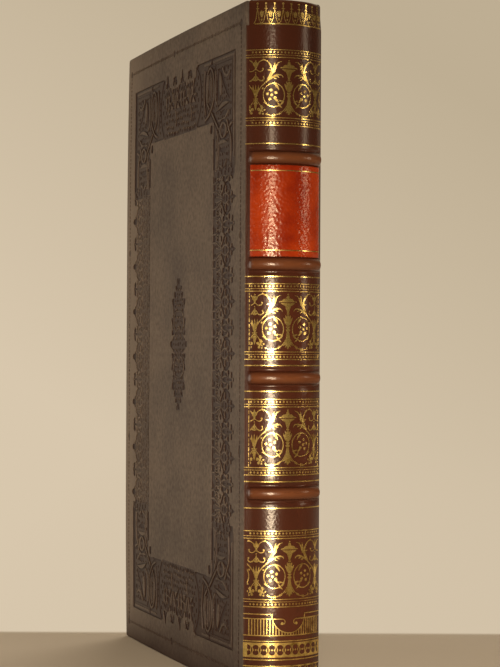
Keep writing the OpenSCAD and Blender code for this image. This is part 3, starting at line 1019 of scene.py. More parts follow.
@dataclass
class SpineSkin(SubAssembly):
    """The leather of the rounded back, with its bands, nips and headcaps, and the red label on it."""

    columns: int = 84
    cap_r: float = 1.3
    cap_reach: float = 3.6
    nip_depth: float = 0.25
    nip_w: float = 1.3
    label_t: float = 0.3

    def profile(self) -> tuple[np.ndarray, np.ndarray]:
        """Section of the leather from the tail cap to the head cap.

        Returns:
            Rows of radius offset and height for the outer face, and the same for the inner face.
        """
        sizes = self.sizes
        rows: list[float] = []
        half = sizes.band_w / 2
        stops = [self.cap_r, *sizes.bands, sizes.height - self.cap_r]
        for band in sizes.bands:
            rows += [band - half * math.cos(math.radians(a)) for a in range(0, 181, 12)]
            rows += [band + sign * (half + self.nip_w * k / 5) for sign in (-1, 1) for k in range(1, 6)]
        for low, high in zip(stops, stops[1:]):
            rows += [z for z in np.linspace(low, high, 16) if all(abs(z - b) > half + self.nip_w for b in sizes.bands)]
        face = [(0.0, z) for z in sorted(rows)]
        cap = [(-self.cap_r * (1 - math.cos(a)), self.cap_r * (math.sin(a) - 1)) for a in np.linspace(0.2, 1.57, 7)]
        cap += [(-self.cap_r - (self.cap_reach - self.cap_r) * t, -0.22 * t * t) for t in np.linspace(0.2, 1, 5)]
        head = [(r, sizes.height + dz) for r, dz in cap]
        tail = [(r, -dz) for r, dz in cap]
        outer = np.array(tail[::-1] + face + head)
        under = sizes.leather_t
        lining = [(max(-self.cap_reach, r - under * min(1, (k + 1) / 4)), min(dz, -0.1) - under * (k + 1) / len(cap))
                  for k, (r, dz) in enumerate(cap)]
        lining[-1] = (-self.cap_reach, -0.22 - under)
        inner_head = [(r, sizes.height + dz) for r, dz in lining]
        inner_tail = [(r, -dz) for r, dz in lining]
        inner = np.array(inner_tail[::-1] + [(-under, z) for _, z in face] + inner_head)
        return outer, inner

    def rise(self, z: np.ndarray) -> np.ndarray:
        """Height of the bands and depth of the nips beside them, at each height on the spine."""
        half = self.sizes.band_w / 2
        total = np.zeros_like(z)
        for band in self.sizes.bands:
            away = np.abs(z - band)
            crown = np.sqrt(np.clip(1 - (away / half) ** 2, 0, 1))
            nip = np.sin(np.clip((away - half) / self.nip_w, 0, 1) * math.pi)
            total += self.sizes.band_rise * crown - self.nip_depth * nip
        return total

    def build(self) -> None:
        """Makes the leather and the label."""
        self.build_leather()
        self.build_label()

    def build_leather(self) -> None:
        """Sweeps the section round the back, with the bands fading out at the joints."""
        sizes = self.sizes
        outer, inner = self.profile()
        shares = np.linspace(-1, 1, self.columns + 1)
        count = len(outer)
        vertices = []
        rubbed = []
        for rows, base in ((outer, 0.0), (inner, -sizes.leather_t)):
            limit = math.acos((sizes.spine_r - sizes.spine_rise) / (sizes.spine_r + base))
            for share in shares:
                fade = 0.25 + 0.75 * smoothstep((1 - abs(share)) / 0.16)
                lifted = self.rise(rows[:, 1]) * fade
                sag = 0.55 * smoothstep((1 - abs(share)) / 0.6) * np.clip((-rows[:, 0] - 1.0) / 2.6, 0, 1)
                ends = np.where(rows[:, 1] > sizes.height / 2, -sag, sag)
                radius = sizes.spine_r + rows[:, 0] + lifted
                angle = share * limit
                vertices.append(np.stack(
                    [radius * np.sin(angle), sizes.axis_y - radius * np.cos(angle), rows[:, 1] + ends], axis=1))
                cap_wear = np.clip((np.abs(rows[:, 1] - sizes.height / 2) - sizes.height / 2 + 1.4) / 1.4, 0, 1)
                rubbed.append(np.clip(np.clip(lifted / sizes.band_rise, 0, 1) ** 2 + 0.8 * cap_wear, 0, 1))
        points = np.concatenate(vertices)
        points[:, 1] = np.minimum(points[:, 1], sizes.joint_y - sizes.joint_gap)
        side = (self.columns + 1) * count
        faces = []
        for k in range(self.columns):
            for i in range(count - 1):
                a = k * count + i
                faces.append((a, a + count, a + count + 1, a + 1))
                faces.append((a + side + 1, a + side + count + 1, a + side + count, a + side))
            for i in (0, count - 1):
                a = k * count + i
                rim = (a, a + side, a + side + count, a + count)
                faces.append(rim if i == 0 else rim[::-1])
        for k in (0, self.columns):
            for i in range(count - 1):
                a = k * count + i
                edge = (a, a + 1, a + side + 1, a + side)
                faces.append(edge if k == 0 else edge[::-1])
        self.leather = make_piece("spine_skin", points, faces, 60.0, {"rubbed": np.concatenate(rubbed)})

    def build_label(self) -> None:
        """Cuts the label with slightly rounded edges."""
        sizes = self.sizes
        low, high = box_mm("title_label")
        reach = sizes.spine_r * math.asin(high.x / (sizes.spine_r + self.label_t))
        u = np.linspace(-reach, reach, 73)
        z = np.linspace(low.z, high.z, 33)
        uu, zz = (grid.ravel() for grid in np.meshgrid(u, z))
        edge = np.minimum(reach - np.abs(uu), np.minimum(zz - low.z, high.z - zz))
        height = self.label_t * (0.45 + 0.55 * np.sqrt(np.clip(edge / 0.8, 0, 1)))
        place = sizes.on_spine()
        top = place(uu, zz, height)
        count = len(uu)
        points = np.concatenate([top, place(uu, zz, np.full(count, -0.1))])
        faces = []
        for j in range(len(z) - 1):
            for i in range(len(u) - 1):
                a = j * len(u) + i
                faces.append((a, a + 1, a + len(u) + 1, a + len(u)))
                faces.append((a + count + len(u), a + count + len(u) + 1, a + count + 1, a + count))
        rim = [i for i in range(len(u))] + [j * len(u) + len(u) - 1 for j in range(1, len(z))]
        rim += [count - 1 - i for i in range(1, len(u))] + [j * len(u) for j in range(len(z) - 2, 0, -1)]
        for a, b in zip(rim, rim[1:] + rim[:1]):
            faces.append((b, a, a + count, b + count))
        self.label = make_piece("title_label_skin", points, faces, 50.0)

    def dress(self) -> None:
        """Gives leather and label their finishes."""
        self.attach(self.leather, self.finishes.spine, "book", "spine_leather", "spine_leather")
        self.attach(self.label, self.finishes.label, "book", "label_leather", "title_label")


@dataclass
class Gilding(SubAssembly):
    """All the gold on the spine: lines, dots, panels, the crown rolls and the rolls at the tail."""

    reach: float = 15.1
    label_reach: float = 14.4
    sunk: float = -0.04
    proud: float = 0.05
    panel_half: float = 10.9
    panel_z: tuple[float, ...] = (218.15, 134.0, 92.45, 45.25)
    panel_axis: tuple[float, ...] = (-0.5, -0.45, -0.4, 0.55)
    band_lines: tuple[tuple[float, ...], ...] = ((-5.2, 4.3), (-4.8, 4.5), (-4.5,), (5.0,))
    panel_fillets: tuple[tuple[float, float], ...] = ((0.0, 0.3), (0.9, 0.2), (2.7, 0.3))
    tail_lines: tuple[tuple[float, float], ...] = ((27.4, 0.3), (29.05, 0.34), (21.4, 0.34))
    ring_lines: tuple[tuple[float, float], ...] = ((19.4, 0.32), (16.2, 5.2), (12.7, 0.32))
    pitch: float = 12.2
    dot_pitch: float = 1.32
    crown_pitch: float = 3.1
    crown_first: float = -12.1
    crown_head: float = 241.1
    crown_tail: float = 10.4
    opening_u: float = 0.6
    ring_pitch: float = 2.95
    guide_step: float = 1.1

    def across(self) -> list[tuple[float, float]]:
        """Height and width of every gilt line that crosses the whole back."""
        rows = [(band + offset, 0.36) for band, offsets in zip(self.sizes.bands, self.band_lines) for offset in offsets]
        for z in self.panel_z:
            for distance, width in self.panel_fillets:
                rows += [(z + end * (self.panel_half + distance), width) for end in (-1, 1)]
        return rows + [*self.tail_lines, *self.ring_lines, (self.crown_tail, 0.4)]

    def emboss(
        self, name: str, drawing: Drawing, low: float, high: float, lift: float = 0.0, reach: float = 0.0
    ) -> bpy.types.Object:
        """Makes the gold of one drawing.

        Args:
            name: The piece's name.
            drawing: Its shapes at level 1.
            low: Lower edge of the strip that it lies on.
            high: Upper edge of that strip.
            lift: Height of the ground above the spine leather.
            reach: Half the length of the strip along the curve, where it isn't the usual one.

        Returns:
            The new object.
        """
        end = reach or self.reach
        marks = np.arange(-end + self.guide_step, end, self.guide_step)
        guides = [((u, low + 0.01), (u, high - 0.01)) for u in marks]
        mosaic = drawing.cut(block(-end, low, end, high)[0], [], guides)
        piece = foil(name, mosaic, self.sizes.on_spine(lift), self.sunk, self.proud)
        self.pieces.append(piece)
        return piece

    def row(
        self, name: str, shapes: list[Outline], border: Outline, first: float, step: float, count: int
    ) -> bpy.types.Object:
        """Repeats a small drawing round the back.

        Args:
            name: The piece's name.
            shapes: The shapes that repeat, about u = 0.
            border: Edge of their sheet.
            first: Place of the first copy along the curve.
            step: Distance between copies.
            count: Number of copies.

        Returns:
            The new object.
        """
        sizes = self.sizes
        unit = foil(name, Drawing([*shapes], [1] * len(shapes)).cut(border, []), sizes.about_axis(), self.sunk, self.proud)
        grown(unit, self.row_tree, {
            "Count": count, "First angle": first / sizes.spine_r, "Step": step / sizes.spine_r,
            "Axis": (0.0, sizes.axis_y * MM, 0.0), "Finish": self.finishes.gold})
        unit.data.set_sharp_from_angle(angle=math.radians(50))
        self.pieces.append(unit)
        return unit

    def line(self, z: float, width: float) -> list[Outline]:
        """Gilt line all the way across at a height."""
        return block(-self.reach - 1, z - width / 2, self.reach + 1, z + width / 2)

    def build(self) -> None:
        """Makes all the gold."""
        self.row_tree = turning_row()
        self.build_lines()
        motif = self.panel_motif()
        for number, (z, axis) in enumerate(zip(self.panel_z, self.panel_axis), 1):
            self.build_panel(number, motif, z, axis)
            self.build_dots(number, z)
        self.build_crowns()
        self.build_flutes()
        self.build_ring_band()

    def build_lines(self) -> None:
        """Draws the straight lines beside the bands, round the panels and on the label."""
        drawing = Drawing()
        drawing.paint(1, [shape for z, width in self.across() if z > 30 for shape in self.line(z, width)])
        self.emboss("gold_lines", drawing, 30.0, self.sizes.height - 10)
        low, high = box_mm("title_label")
        drawing = Drawing()
        drawing.paint(1, self.line(low.z + 2.2, 0.36) + self.line(high.z - 2.0, 0.36))
        self.emboss("gold_label_lines", drawing, low.z + 1, high.z - 1, SpineSkin.label_t, self.label_reach)

    def build_dots(self, number: int, z: float) -> None:
        """Makes the two rows of dots of a panel."""
        count = int(2 * (self.reach - 0.4) / self.dot_pitch)
        for label, end in (("foot", -1), ("top", 1)):
            middle = z + end * (self.panel_half + 1.8)
            border = block(-0.6, middle - 1, 0.6, middle + 1)[0]
            first = -self.dot_pitch * (count - 1) / 2
            self.row(f"gold_dots_{number}_{label}", oval(0, middle, 0.37, 0.4, 8), border, first, self.dot_pitch, count)

    def build_panel(self, number: int, motif: list[Outline], z: float, axis: float) -> None:
        """Makes the ornament of one panel, and the broken line down each side of the second and third."""
        drawing = Drawing()
        drawing.paint(1, moved(motif, axis, z))
        edge = self.panel_half + 3
        if number in (2, 3):
            drawing.paint(0, both_sides(block(14.1, z - edge, 40, z + edge)))
            chance = random.Random(number)
            low = z - edge + 0.4
            while low < z + edge - 1.4:
                length = chance.uniform(0.4, 1.6)
                drawing.paint(1, both_sides(block(14.55, low, 14.85, low + length)))
                low += length + chance.uniform(0.25, 0.8)
            for distance, width in self.panel_fillets:
                for end in (-1, 1):
                    height = z + end * (self.panel_half + distance)
                    drawing.paint(0, block(-40, height - width, 40, height + width))
        self.emboss(f"gold_panel_{number}", drawing, z - edge, z + edge)

    def vase(self) -> list[Outline]:
        """Tall candelabrum in the middle of a panel: finial, lidded cup, leafy baluster and foot."""
        shapes = disc(0, 9.75, 0.3, 8) + oval(0, 9.05, 0.52, 0.28, 8)
        shapes += mirrored([(0.2, 9.0), (0.6, 8.7), (0.5, 8.3), (1.6, 8.15), (2.1, 7.8), (2.2, 7.45), (3.2, 7.25), (3.45, 6.95)])
        shapes += mirrored([(2.75, 6.64), (2.0, 6.05), (1.05, 5.5), (0.85, 4.9), (0.6, 4.2), (0.28, 3.1)])
        shapes += oval(0, 2.75, 0.6, 0.3, 8)
        shapes += mirrored([(0.35, 2.2), (0.8, 1.4), (1.2, 0.6), (1.3, -0.2), (1.0, -0.9), (0.42, -1.55)])
        shapes += both_sides(leaf((0.8, -0.3), (1.65, 1.5), 0.3, -0.1) + leaf((0.45, 0.6), (0.95, 2.4), 0.24, -0.1))
        shapes += mirrored([(0.75, -1.75), (0.75, -2.0), (0.32, -2.5), (0.82, -2.95), (0.78, -3.25), (0.38, -3.6)])
        shapes += mirrored([(0.42, -3.7), (0.58, -4.8), (0.82, -6.2), (0.95, -7.4), (0.65, -8.6), (0.2, -9.85)])
        shapes += both_sides(leaf((0.6, -6.4), (2.0, -8.8), 0.36, -0.4) + leaf((0.3, -7.3), (1.1, -9.4), 0.32, -0.15))
        return shapes

    def side_candelabrum(self) -> list[Outline]:
        """Slimmer candelabrum between two scrolls: tulip, plume, calyx, plate and pendant."""
        shapes = disc(0, 9.6, 0.3, 8) + mirrored([(0.2, 9.3), (0.8, 8.9), (0.65, 7.9), (0.28, 6.9), (0.12, 6.2)])
        shapes += both_sides(leaf((0.3, 7.4), (1.05, 9.3), 0.22, -0.15))
        shapes += leaf((0, 2.2), (0, 5.1), 0.42) + disc(0, 5.4, 0.25, 8)
        shapes += both_sides(leaf((0.1, 2.3), (0.95, 3.6), 0.25, -0.2))
        shapes += leaf((0, -3.4), (0, 1.2), 0.36) + both_sides(leaf((0.1, -3.0), (1.0, 0.9), 0.34, -0.3))
        shapes += mirrored([(0.5, -0.8), (0.42, -2.2), (0.3, -3.95)])
        shapes += block(-1.0, -4.2, 1.0, -3.95) + block(-0.85, -4.7, 0.85, -4.4) + block(-0.25, -5.0, 0.25, -3.9)
        shapes += leaf((0, -4.8), (0, -8.3), 0.5) + both_sides(leaf((0.1, -4.9), (0.95, -6.1), 0.26, -0.1))
        return shapes

    def ring(self) -> list[Outline]:
        """Ring of the right-hand scroll with its berries, inner leaf and ties."""
        turns = [2 * math.pi * k / 36 for k in range(37)]
        shapes = stroke([(5.55 + 3.86 * math.cos(a), -2.7 + 4.25 * math.sin(a)) for a in turns], 0.34)
        berries = ((6.35, -2.7, 0.48), (6.6, -0.95, 0.54), (4.85, -1.8, 0.54), (7.95, -2.35, 0.5),
                   (7.05, -4.2, 0.54), (5.1, -3.75, 0.58), (9.55, -0.35, 0.38), (5.3, 1.6, 0.34))
        shapes += [shape for x, z, r in berries for shape in disc(x, z, r, 9)]
        shapes += leaf((5.5, 1.4), (3.7, -1.0), 0.42, -0.25) + leaf((5.3, -3.9), (3.7, -5.2), 0.4, 0.1)
        shapes += leaf((9.1, -4.8), (7.7, -6.6), 0.34) + leaf((9.5, -5.5), (8.0, -5.3), 0.22)
        shapes += leaf((3.9, -4.6), (1.9, -5.0), 0.26) + leaf((4.3, -5.3), (2.5, -7.4), 0.34, 0.15)
        shapes += leaf((1.9, -4.8), (2.9, -6.3), 0.22)
        return shapes

    def frond(self) -> list[Outline]:
        """Frond that rises from the side candelabrum, with its blades, inner leaf and hooked tendril."""
        stem = curve([(11.8, -3.3), (11.55, -1.9), (10.9, -0.7), (9.9, 0.6), (8.8, 1.6), (7.7, 2.6), (6.8, 3.8),
                      (6.1, 5.2), (5.6, 6.5)], 2)
        shapes = stroke(stem, 0.28, 0.34, 0.42, 0.6, 0.7)
        shapes += stroke(curve([(8.1, 2.8), (7.2, 4.2), (6.6, 5.8)], 3), 0.2, 0.34, 0.2)
        shapes += leaf((5.7, 5.2), (5.15, 9.3), 0.46) + stroke(
            curve([(5.5, 5.6), (4.75, 7.6), (3.95, 8.95), (2.6, 9.45)], 3), 0.7, 0.5, 0.4, 0.12)
        hook = [(6.1, 4.8), (6.35, 6.6), (6.95, 8.3), (8.0, 9.45), (9.3, 9.9), (10.8, 9.3), (11.8, 7.7), (12.5, 6.5),
                (13.6, 5.8), (14.7, 6.0), (15.0, 6.8)]
        shapes += stroke(curve(hook, 3), 0.5, 0.55, 0.34, 0.3, 0.3, 0.34) + disc(14.9, 6.75, 0.36, 8)
        shapes += disc(9.3, 10.05, 0.32, 8) + leaf((6.3, 6.1), (8.0, 6.3), 0.2)
        inner = curve([(7.3, 2.7), (6.0, 3.7), (4.8, 4.35), (3.4, 4.6), (2.5, 4.2), (2.2, 3.6)], 3)
        shapes += stroke(inner, 0.3, 0.65, 0.6, 0.36, 0.18)
        shapes += leaf((5.9, 3.6), (4.5, 2.9), 0.22) + leaf((4.9, 4.1), (3.5, 3.5), 0.22)
        crescent = curve([(11.8, 4.0), (11.0, 2.8), (9.9, 2.4), (9.1, 3.0), (9.25, 3.8)], 3)
        shapes += stroke(crescent, 0.24, 0.46, 0.4, 0.26) + disc(9.3, 3.85, 0.32, 8)
        return shapes

    def swag(self) -> list[Outline]:
        """Beaded swag from the foot of the vase to the leaf bunch under the side candelabrum."""
        line = curve([(0.95, -6.5), (1.8, -8.0), (3.4, -9.35), (5.7, -10.1), (7.2, -9.95), (8.4, -9.4)], 3)
        shapes = stroke(line, 0.26)
        for x, z in ((3.0, -9.1), (3.55, -9.4), (5.35, -10.0), (5.95, -10.05), (8.1, -9.55)):
            shapes += block(x - 0.14, z - 0.48, x + 0.14, z + 0.48)
        for x, z, r in ((10.0, -6.9, 0.5), (11.0, -7.9, 0.62), (10.6, -9.2, 0.5), (9.5, -9.5, 0.34)):
            shapes += disc(x, z, r, 8)
        shapes += stroke([(9.9, -7.0), (10.1, -8.2), (10.7, -9.3)], 0.5) + stroke([(10.1, -8.2), (11.2, -7.9)], 0.5)
        shapes += stroke(arc(8.9, -8.0, 0.95, 70, -70, 6), 0.3) + disc(8.9, -8.1, 0.34, 8)
        return shapes + stroke(curve([(12.0, -4.6), (11.2, -5.3), (10.3, -6.6)], 3), 0.24)

    def panel_motif(self) -> list[Outline]:
        """One whole panel about its middle, going on past the side candelabra."""
        scroll = self.ring() + self.frond() + self.swag()
        beyond = [[(2 * self.pitch - x, y) for x, y in shape] for shape in scroll]
        side = moved(self.side_candelabrum(), self.pitch)
        return self.vase() + both_sides(scroll + side + beyond)

    def build_crowns(self) -> None:
        """Makes the crown roll at the head and the same upside down at the tail."""
        stem = disc(0, 7.3, 0.44, 8) + block(-0.13, 5.4, 0.13, 7.0) + oval(0, 5.5, 0.66, 0.22, 8)
        stem += oval(0, 6.35, 0.32, 0.18, 6)
        stem += both_sides(stroke(curve([(0.0, 5.3), (0.32, 3.6), (0.62, 1.6), (1.4, 0.1)], 3), 0.26))
        tulip = mirrored([(0.03, 4.85), (0.26, 4.2), (0.7, 4.6), (0.68, 3.4), (0.42, 2.6), (0.12, 2.35)])
        tulip += disc(0, 1.5, 0.38, 8)
        stems = 9
        for label, base, up in (("head", self.crown_head, 1), ("tail", self.crown_tail, -1)):
            far = base + up * 8.2
            border = block(-1.53, min(base, far) - 0.2, 1.53, max(base, far) + 0.2)[0]
            for part, shapes, shift in (("stems", stem, 0.0), ("tulips", tulip, self.crown_pitch / 2)):
                placed = [[(x, base + up * y) for x, y in shape] for shape in shapes]
                self.row(f"gold_crown_{label}_{part}", placed, border, self.crown_first + shift, self.crown_pitch, stems)
            foot = Drawing()
            foot.paint(1, self.line(base, 0.42))
            foot.paint(0, block(-20, base - 1, -13.1, base + 1) if label == "head" else [])
            self.emboss(f"gold_crown_{label}_line", foot, base - 0.6, base + 0.6)

    def build_flutes(self) -> None:
        """Makes the fluted roll above the tail, with its opening between two volutes."""
        drawing = Drawing()
        for u in np.arange(-15.4, 15.5, 1.1):
            drawing.paint(1, block(u - 0.21, 21.4, u + 0.21, 27.4))
        drawing.paint(1, [shape for z, width in self.tail_lines for shape in self.line(z, width)])
        opening = arc(0, 28.8, 6.5, 180, 360, 26)
        drawing.paint(0, moved([opening + [(6.5, 31), (-6.5, 31)]], self.opening_u))
        curl = [(6.4, 27.35), (4.6, 27.35), (3.4, 27.3)] + volute(2.6, 26.1, 1.2, 0.6, 95, 290)
        shapes = stroke(opening, 0.34) + both_sides(stroke([(6.5, 29.2), (6.5, 28.6)], 0.34))
        shapes += both_sides(stroke(curl, 0.3) + disc(2.75, 25.7, 0.55, 10))
        drawing.paint(1, moved(shapes, self.opening_u))
        self.emboss("gold_flutes", drawing, 20.8, 29.6)

    def build_ring_band(self) -> None:
        """Makes the gold band of linked rings."""
        drawing = Drawing()
        drawing.paint(1, [shape for z, width in self.ring_lines for shape in self.line(z, width)])
        middle = self.ring_lines[1][0]
        for k in range(-6, 7):
            u = 0.08 + k * self.ring_pitch
            spool = oval(u, middle + 0.95, 1.15, 0.92, 12) + oval(u, middle - 0.95, 1.15, 0.92, 12)
            drawing.paint(0, spool + block(u - 0.7, middle - 1, u + 0.7, middle + 1))
            drawing.paint(1, disc(u, middle, 0.34, 8))
            drawing.paint(0, oval(u + self.ring_pitch / 2, middle, 0.26, 1.1, 8))
        self.emboss("gold_ring_band", drawing, 12.0, 20.0)

    def dress(self) -> None:
        """Gives every piece its gold, and tells which solids each stands for."""
        stands_for = {
            "gold_lines": ("gilt_fillets",),
            "gold_crown_head_stems": ("gilt_head_roll",),
            "gold_flutes": ("gilt_tail_rolls",),
        }
        stands_for |= {f"gold_panel_{k}": (f"gilt_panel_{k}",) for k in (1, 2, 3, 4)}
        for piece in self.pieces:
            self.attach(piece, self.finishes.gold, "book", "gold_leaf", *stands_for.get(piece.name, ()))


# Covers


@dataclass
class BlindTooling:
    """Drawing of everything that is pressed into one cover, in distances from the joint and the tail.

    Its levels are the members of Depth: 0 the face, 1 the pressed ground, 2 the deep lines and dots.
    """

    sizes: BookSizes
    s0: float = 11.4
    s1: float = 141.0
    z0: float = 14.0
    z1: float = 234.0
    frame_w: float = 24.2
    arm: float = 43.2
    pitch: float = 19.2
    lace_middle: float = 122.4
    dot_pitch: float = 1.65

    def draw(self) -> Drawing:
        """Draws it all."""
        self.drawing = Drawing()
        self.draw_lace()
        self.draw_corners()
        self.draw_centre()
        self.draw_dotted_line()
        return self.drawing

    def medallion(self, crisp: bool) -> Drawing:
        """One tall lace point with its medallion, from the inner baseline at 0 outwards to 25.

        Args:
            crisp: Whether the stamp bit deep, so that its baseline and fine lines stand out.

        Returns:
            The drawing.
        """
        drawing = Drawing()
        if not crisp:
            drawing.paint(1, block(-9.65, -0.6, 9.65, 10.6))
            chance = random.Random(7)
            for x in np.arange(-8.8, 9.0, 2.2):
                for y in (0.9, 3.4, 6.0, 8.6):
                    spot = (x + (y // 2.4) % 2 * 1.1 + chance.uniform(-0.4, 0.4), y + chance.uniform(-0.5, 0.5))
                    drawing.paint(2, disc(*spot, chance.uniform(0.5, 1.05), 6))
                    if chance.random() < 0.6:
                        drawing.paint(0, disc(spot[0] + 1.1, spot[1] + 0.7, chance.uniform(0.3, 0.5), 5))
            self.medallion_body(drawing)
            drawing.paint(2, mirrored([(1.0, 21.2), (1.4, 22.8), (1.0, 24.4), (0.2, 25.4)]))
            return drawing
        drawing.paint(1, block(-9.65, -0.6, 9.65, 6.4))
        drawing.paint(1, mirrored([(0.01, 6.0), (5.4, 6.0), (3.2, 8.0), (1.4, 10.2), (0.01, 10.4)]))
        drawing.paint(2, block(-2.7, -0.4, 2.7, 0.7) + both_sides(disc(4.7, 1.25, 1.35) + disc(1.5, 1.9, 0.8, 8)))
        for x0, x1, top in ((0.35, 1.1, 9.6), (0.85, 3.1, 9.3), (1.4, 5.2, 8.9)):
            line = stroke([(x0, top), ((x0 + x1) / 2, 6.4), (x1, 3.4)], 0.3, 0.4)
            drawing.paint(0, both_sides(line))
        drawing.paint(0, both_sides(block(3.05, -0.7, 3.4, 2.6) + block(6.1, -0.7, 6.5, 2.6)))
        for x, y in ((1.9, 5.6), (3.4, 7.2), (5.0, 5.3), (8.6, 3.7), (9.2, 5.5), (4.3, 3.6), (2.2, 8.4)):
            drawing.paint(0, both_sides(disc(x, y, 0.3, 6)))
        drawing.paint(2, both_sides(disc(4.4, 9.2, 1.2) + disc(2.0, 4.2, 0.65, 8) + disc(4.1, 4.9, 0.6, 8)))
        drawing.paint(2, both_sides(leaf((6.0, 3.2), (6.9, 8.4), 0.95, 0.4) + disc(8.3, 5.0, 0.75, 8)))
        drawing.paint(0, both_sides(stroke(curve([(5.4, 3.4), (6.1, 5.2), (5.6, 7.0)], 3), 0.3, 0.5, 0.3)))
        drawing.paint(0, both_sides(stroke(curve([(7.2, 3.2), (7.9, 4.8), (7.4, 6.2)], 3), 0.3, 0.45, 0.3)))
        self.medallion_body(drawing)
        drawing.paint(2, mirrored([(1.0, 22.0), (0.8, 23.0), (0.45, 24.3), (0.15, 25.3)]))
        return drawing

    def medallion_body(self, drawing: Drawing) -> None:
        """Draws the leaf-shaped medallion itself."""
        body = [
            (1.3, 9.4), (2.6, 10.4), (4.4, 12.2), (5.8, 15.0), (5.0, 17.8), (3.3, 19.6), (2.2, 20.8), (0.9, 22.4)]
        drawing.paint(1, mirrored([(0.01, 9.2), *body, (0.01, 22.6)]))
        drawing.paint(2, both_sides(stroke(curve(body[:6], 3), 0.8, 1.3, 1.2, 0.9)))
        drawing.paint(2, both_sides(disc(3.5, 15.0, 1.3) + disc(4.0, 18.8, 1.05, 8) + disc(1.35, 21.1, 1.05, 8)))
        drawing.paint(2, disc(0, 14.8, 1.25) + disc(0, 11.8, 0.9, 8) + disc(0, 18.2, 0.9, 8))
        drawing.paint(2, both_sides(leaf((2.2, 11.6), (3.0, 13.4), 0.6) + leaf((1.3, 16.6), (2.2, 18.6), 0.6)))
        drawing.paint(0, both_sides(stroke(arc(3.5, 15.0, 1.75, 110, 320, 8), 0.35)))
        drawing.paint(0, both_sides(stroke(curve([(0.9, 10.6), (1.9, 13.0), (1.4, 15.6), (0.5, 17.0)], 3), 0.38)))
        drawing.paint(0, both_sides(stroke([(0.5, 19.4), (2.2, 19.9)], 0.35)))

    def flower(self, crisp: bool) -> Drawing:
        """The lower lace point between two medallions.

        Args:
            crisp: Whether the stamp bit deep at its baseline. Elsewhere its outer end bit deeper.

        Returns:
            The drawing.
        """
        drawing = Drawing()
        if crisp:
            drawing.paint(2, block(-2.9, -0.4, 2.9, 0.7) + both_sides(disc(1.7, 2.0, 1.0, 8)))
        drawing.paint(1, block(-1.9, 6.0, 1.9, 9.8))
        drawing.paint(0, both_sides(stroke(curve([(0.7, 9.6), (1.7, 7.2), (1.2, 3.6)], 3), 0.38)))
        drawing.paint(2, both_sides(disc(2.3, 5.4, 0.8, 8) + disc(2.4, 8.2, 0.6, 8)) + leaf((0, 3.4), (0, 7.6), 0.5))
        drawing.paint(1, oval(0, 13.6, 2.9, 4.0, 12))
        drawing.paint(2, both_sides(oval(2.2, 11.4, 1.05, 1.45, 10) + disc(3.2, 12.6, 1.0, 8) + disc(1.8, 14.8, 0.9, 8)))
        drawing.paint(0, both_sides(leaf((0.5, 10.8), (1.2, 16.2), 0.3, -0.4)) + disc(0, 9.7, 0.45, 8))
        drawing.paint(2, leaf((0, 11.0), (0, 15.6), 0.6))
        drawing.paint(2, both_sides(oval(2.7, 17.9, 1.1, 1.4, 10) + disc(1.8, 21.3, 1.3)))
        drawing.paint(1, block(-1.7, 17.0, 1.7, 18.8))
        drawing.paint(2, block(-0.5, 16.2, 0.5, 21.8) + disc(0, 23.0, 0.9, 8))
        if not crisp:
            drawing.paint(2, both_sides(disc(1.4, 22.2, 1.35, 8)))
        return drawing

    def draw_lace(self) -> None:
        """Sets the lace points along the four sides, between the corner pieces."""
        middle = (self.s0 + self.s1) / 2
        runs = (
            (7, 90, self.s0 + self.frame_w, self.lace_middle, True),
            (7, -90, self.s1 - self.frame_w, self.lace_middle - 1.4, False),
            (3, 180, middle - 2.6, self.z0 + self.frame_w, False),
            (3, 0, middle - 2.6, self.z1 - self.frame_w, False),
        )
        for count, turn, s, z, crisp in runs:
            medallion, flower = self.medallion(crisp), self.flower(crisp)
            for k in range(2 * count + 1):
                x = (k - count) / 2 * self.pitch
                part = medallion if k % 2 else flower
                self.drawing.add(part, lambda shapes: moved(moved(shapes, x), s, z, turn))

    def corner(self, fore_edge: bool) -> Drawing:
        """Strapwork corner piece, from the frame's corner at (0, 0) along the joint side and the head.

        Args:
            fore_edge: Whether it stands at the fore-edge, where a wide bar along its outer rim is pressed deep and
                burnt dark as painted shade.

        Returns:
            The drawing, in distances from the frame's long side and its short side.
        """
        drawing = Drawing()
        w, arm = self.frame_w, self.arm
        drawing.paint(0, block(-0.6, -0.6, arm + 1, w + 1) + block(-0.6, -0.6, w + 1, arm + 1.5))
        drawing.paint(1, [[
            (0, 0), (arm, 0), (arm - 2.4, 3.5), (arm - 4.4, 8), (arm - 4.6, 14), (arm - 3, 19), (arm, w), (w, w),
            (w, arm), (19, arm - 1.6), (13, arm + 0.6), (6, arm - 1.2), (0, arm)]])
        chance = random.Random(5)
        for a in np.arange(5.6, arm - 5.0, 2.3):
            for b in np.arange(5.0, arm - 1.0, 2.3):
                if b < w - 1.2 or a < w - 2.5:
                    dot = (a + chance.uniform(-0.4, 0.4), b + chance.uniform(-0.4, 0.4))
                    drawing.paint(2, disc(*dot, chance.uniform(0.45, 0.75), 6))
        self.frame_lines(drawing, fore_edge)
        self.loop(drawing)
        self.pointed_arch(drawing)
        self.eye(drawing)
        drawing.paint(2, disc(w + 2.6, w + 2.6, 1.8, 12))
        return drawing

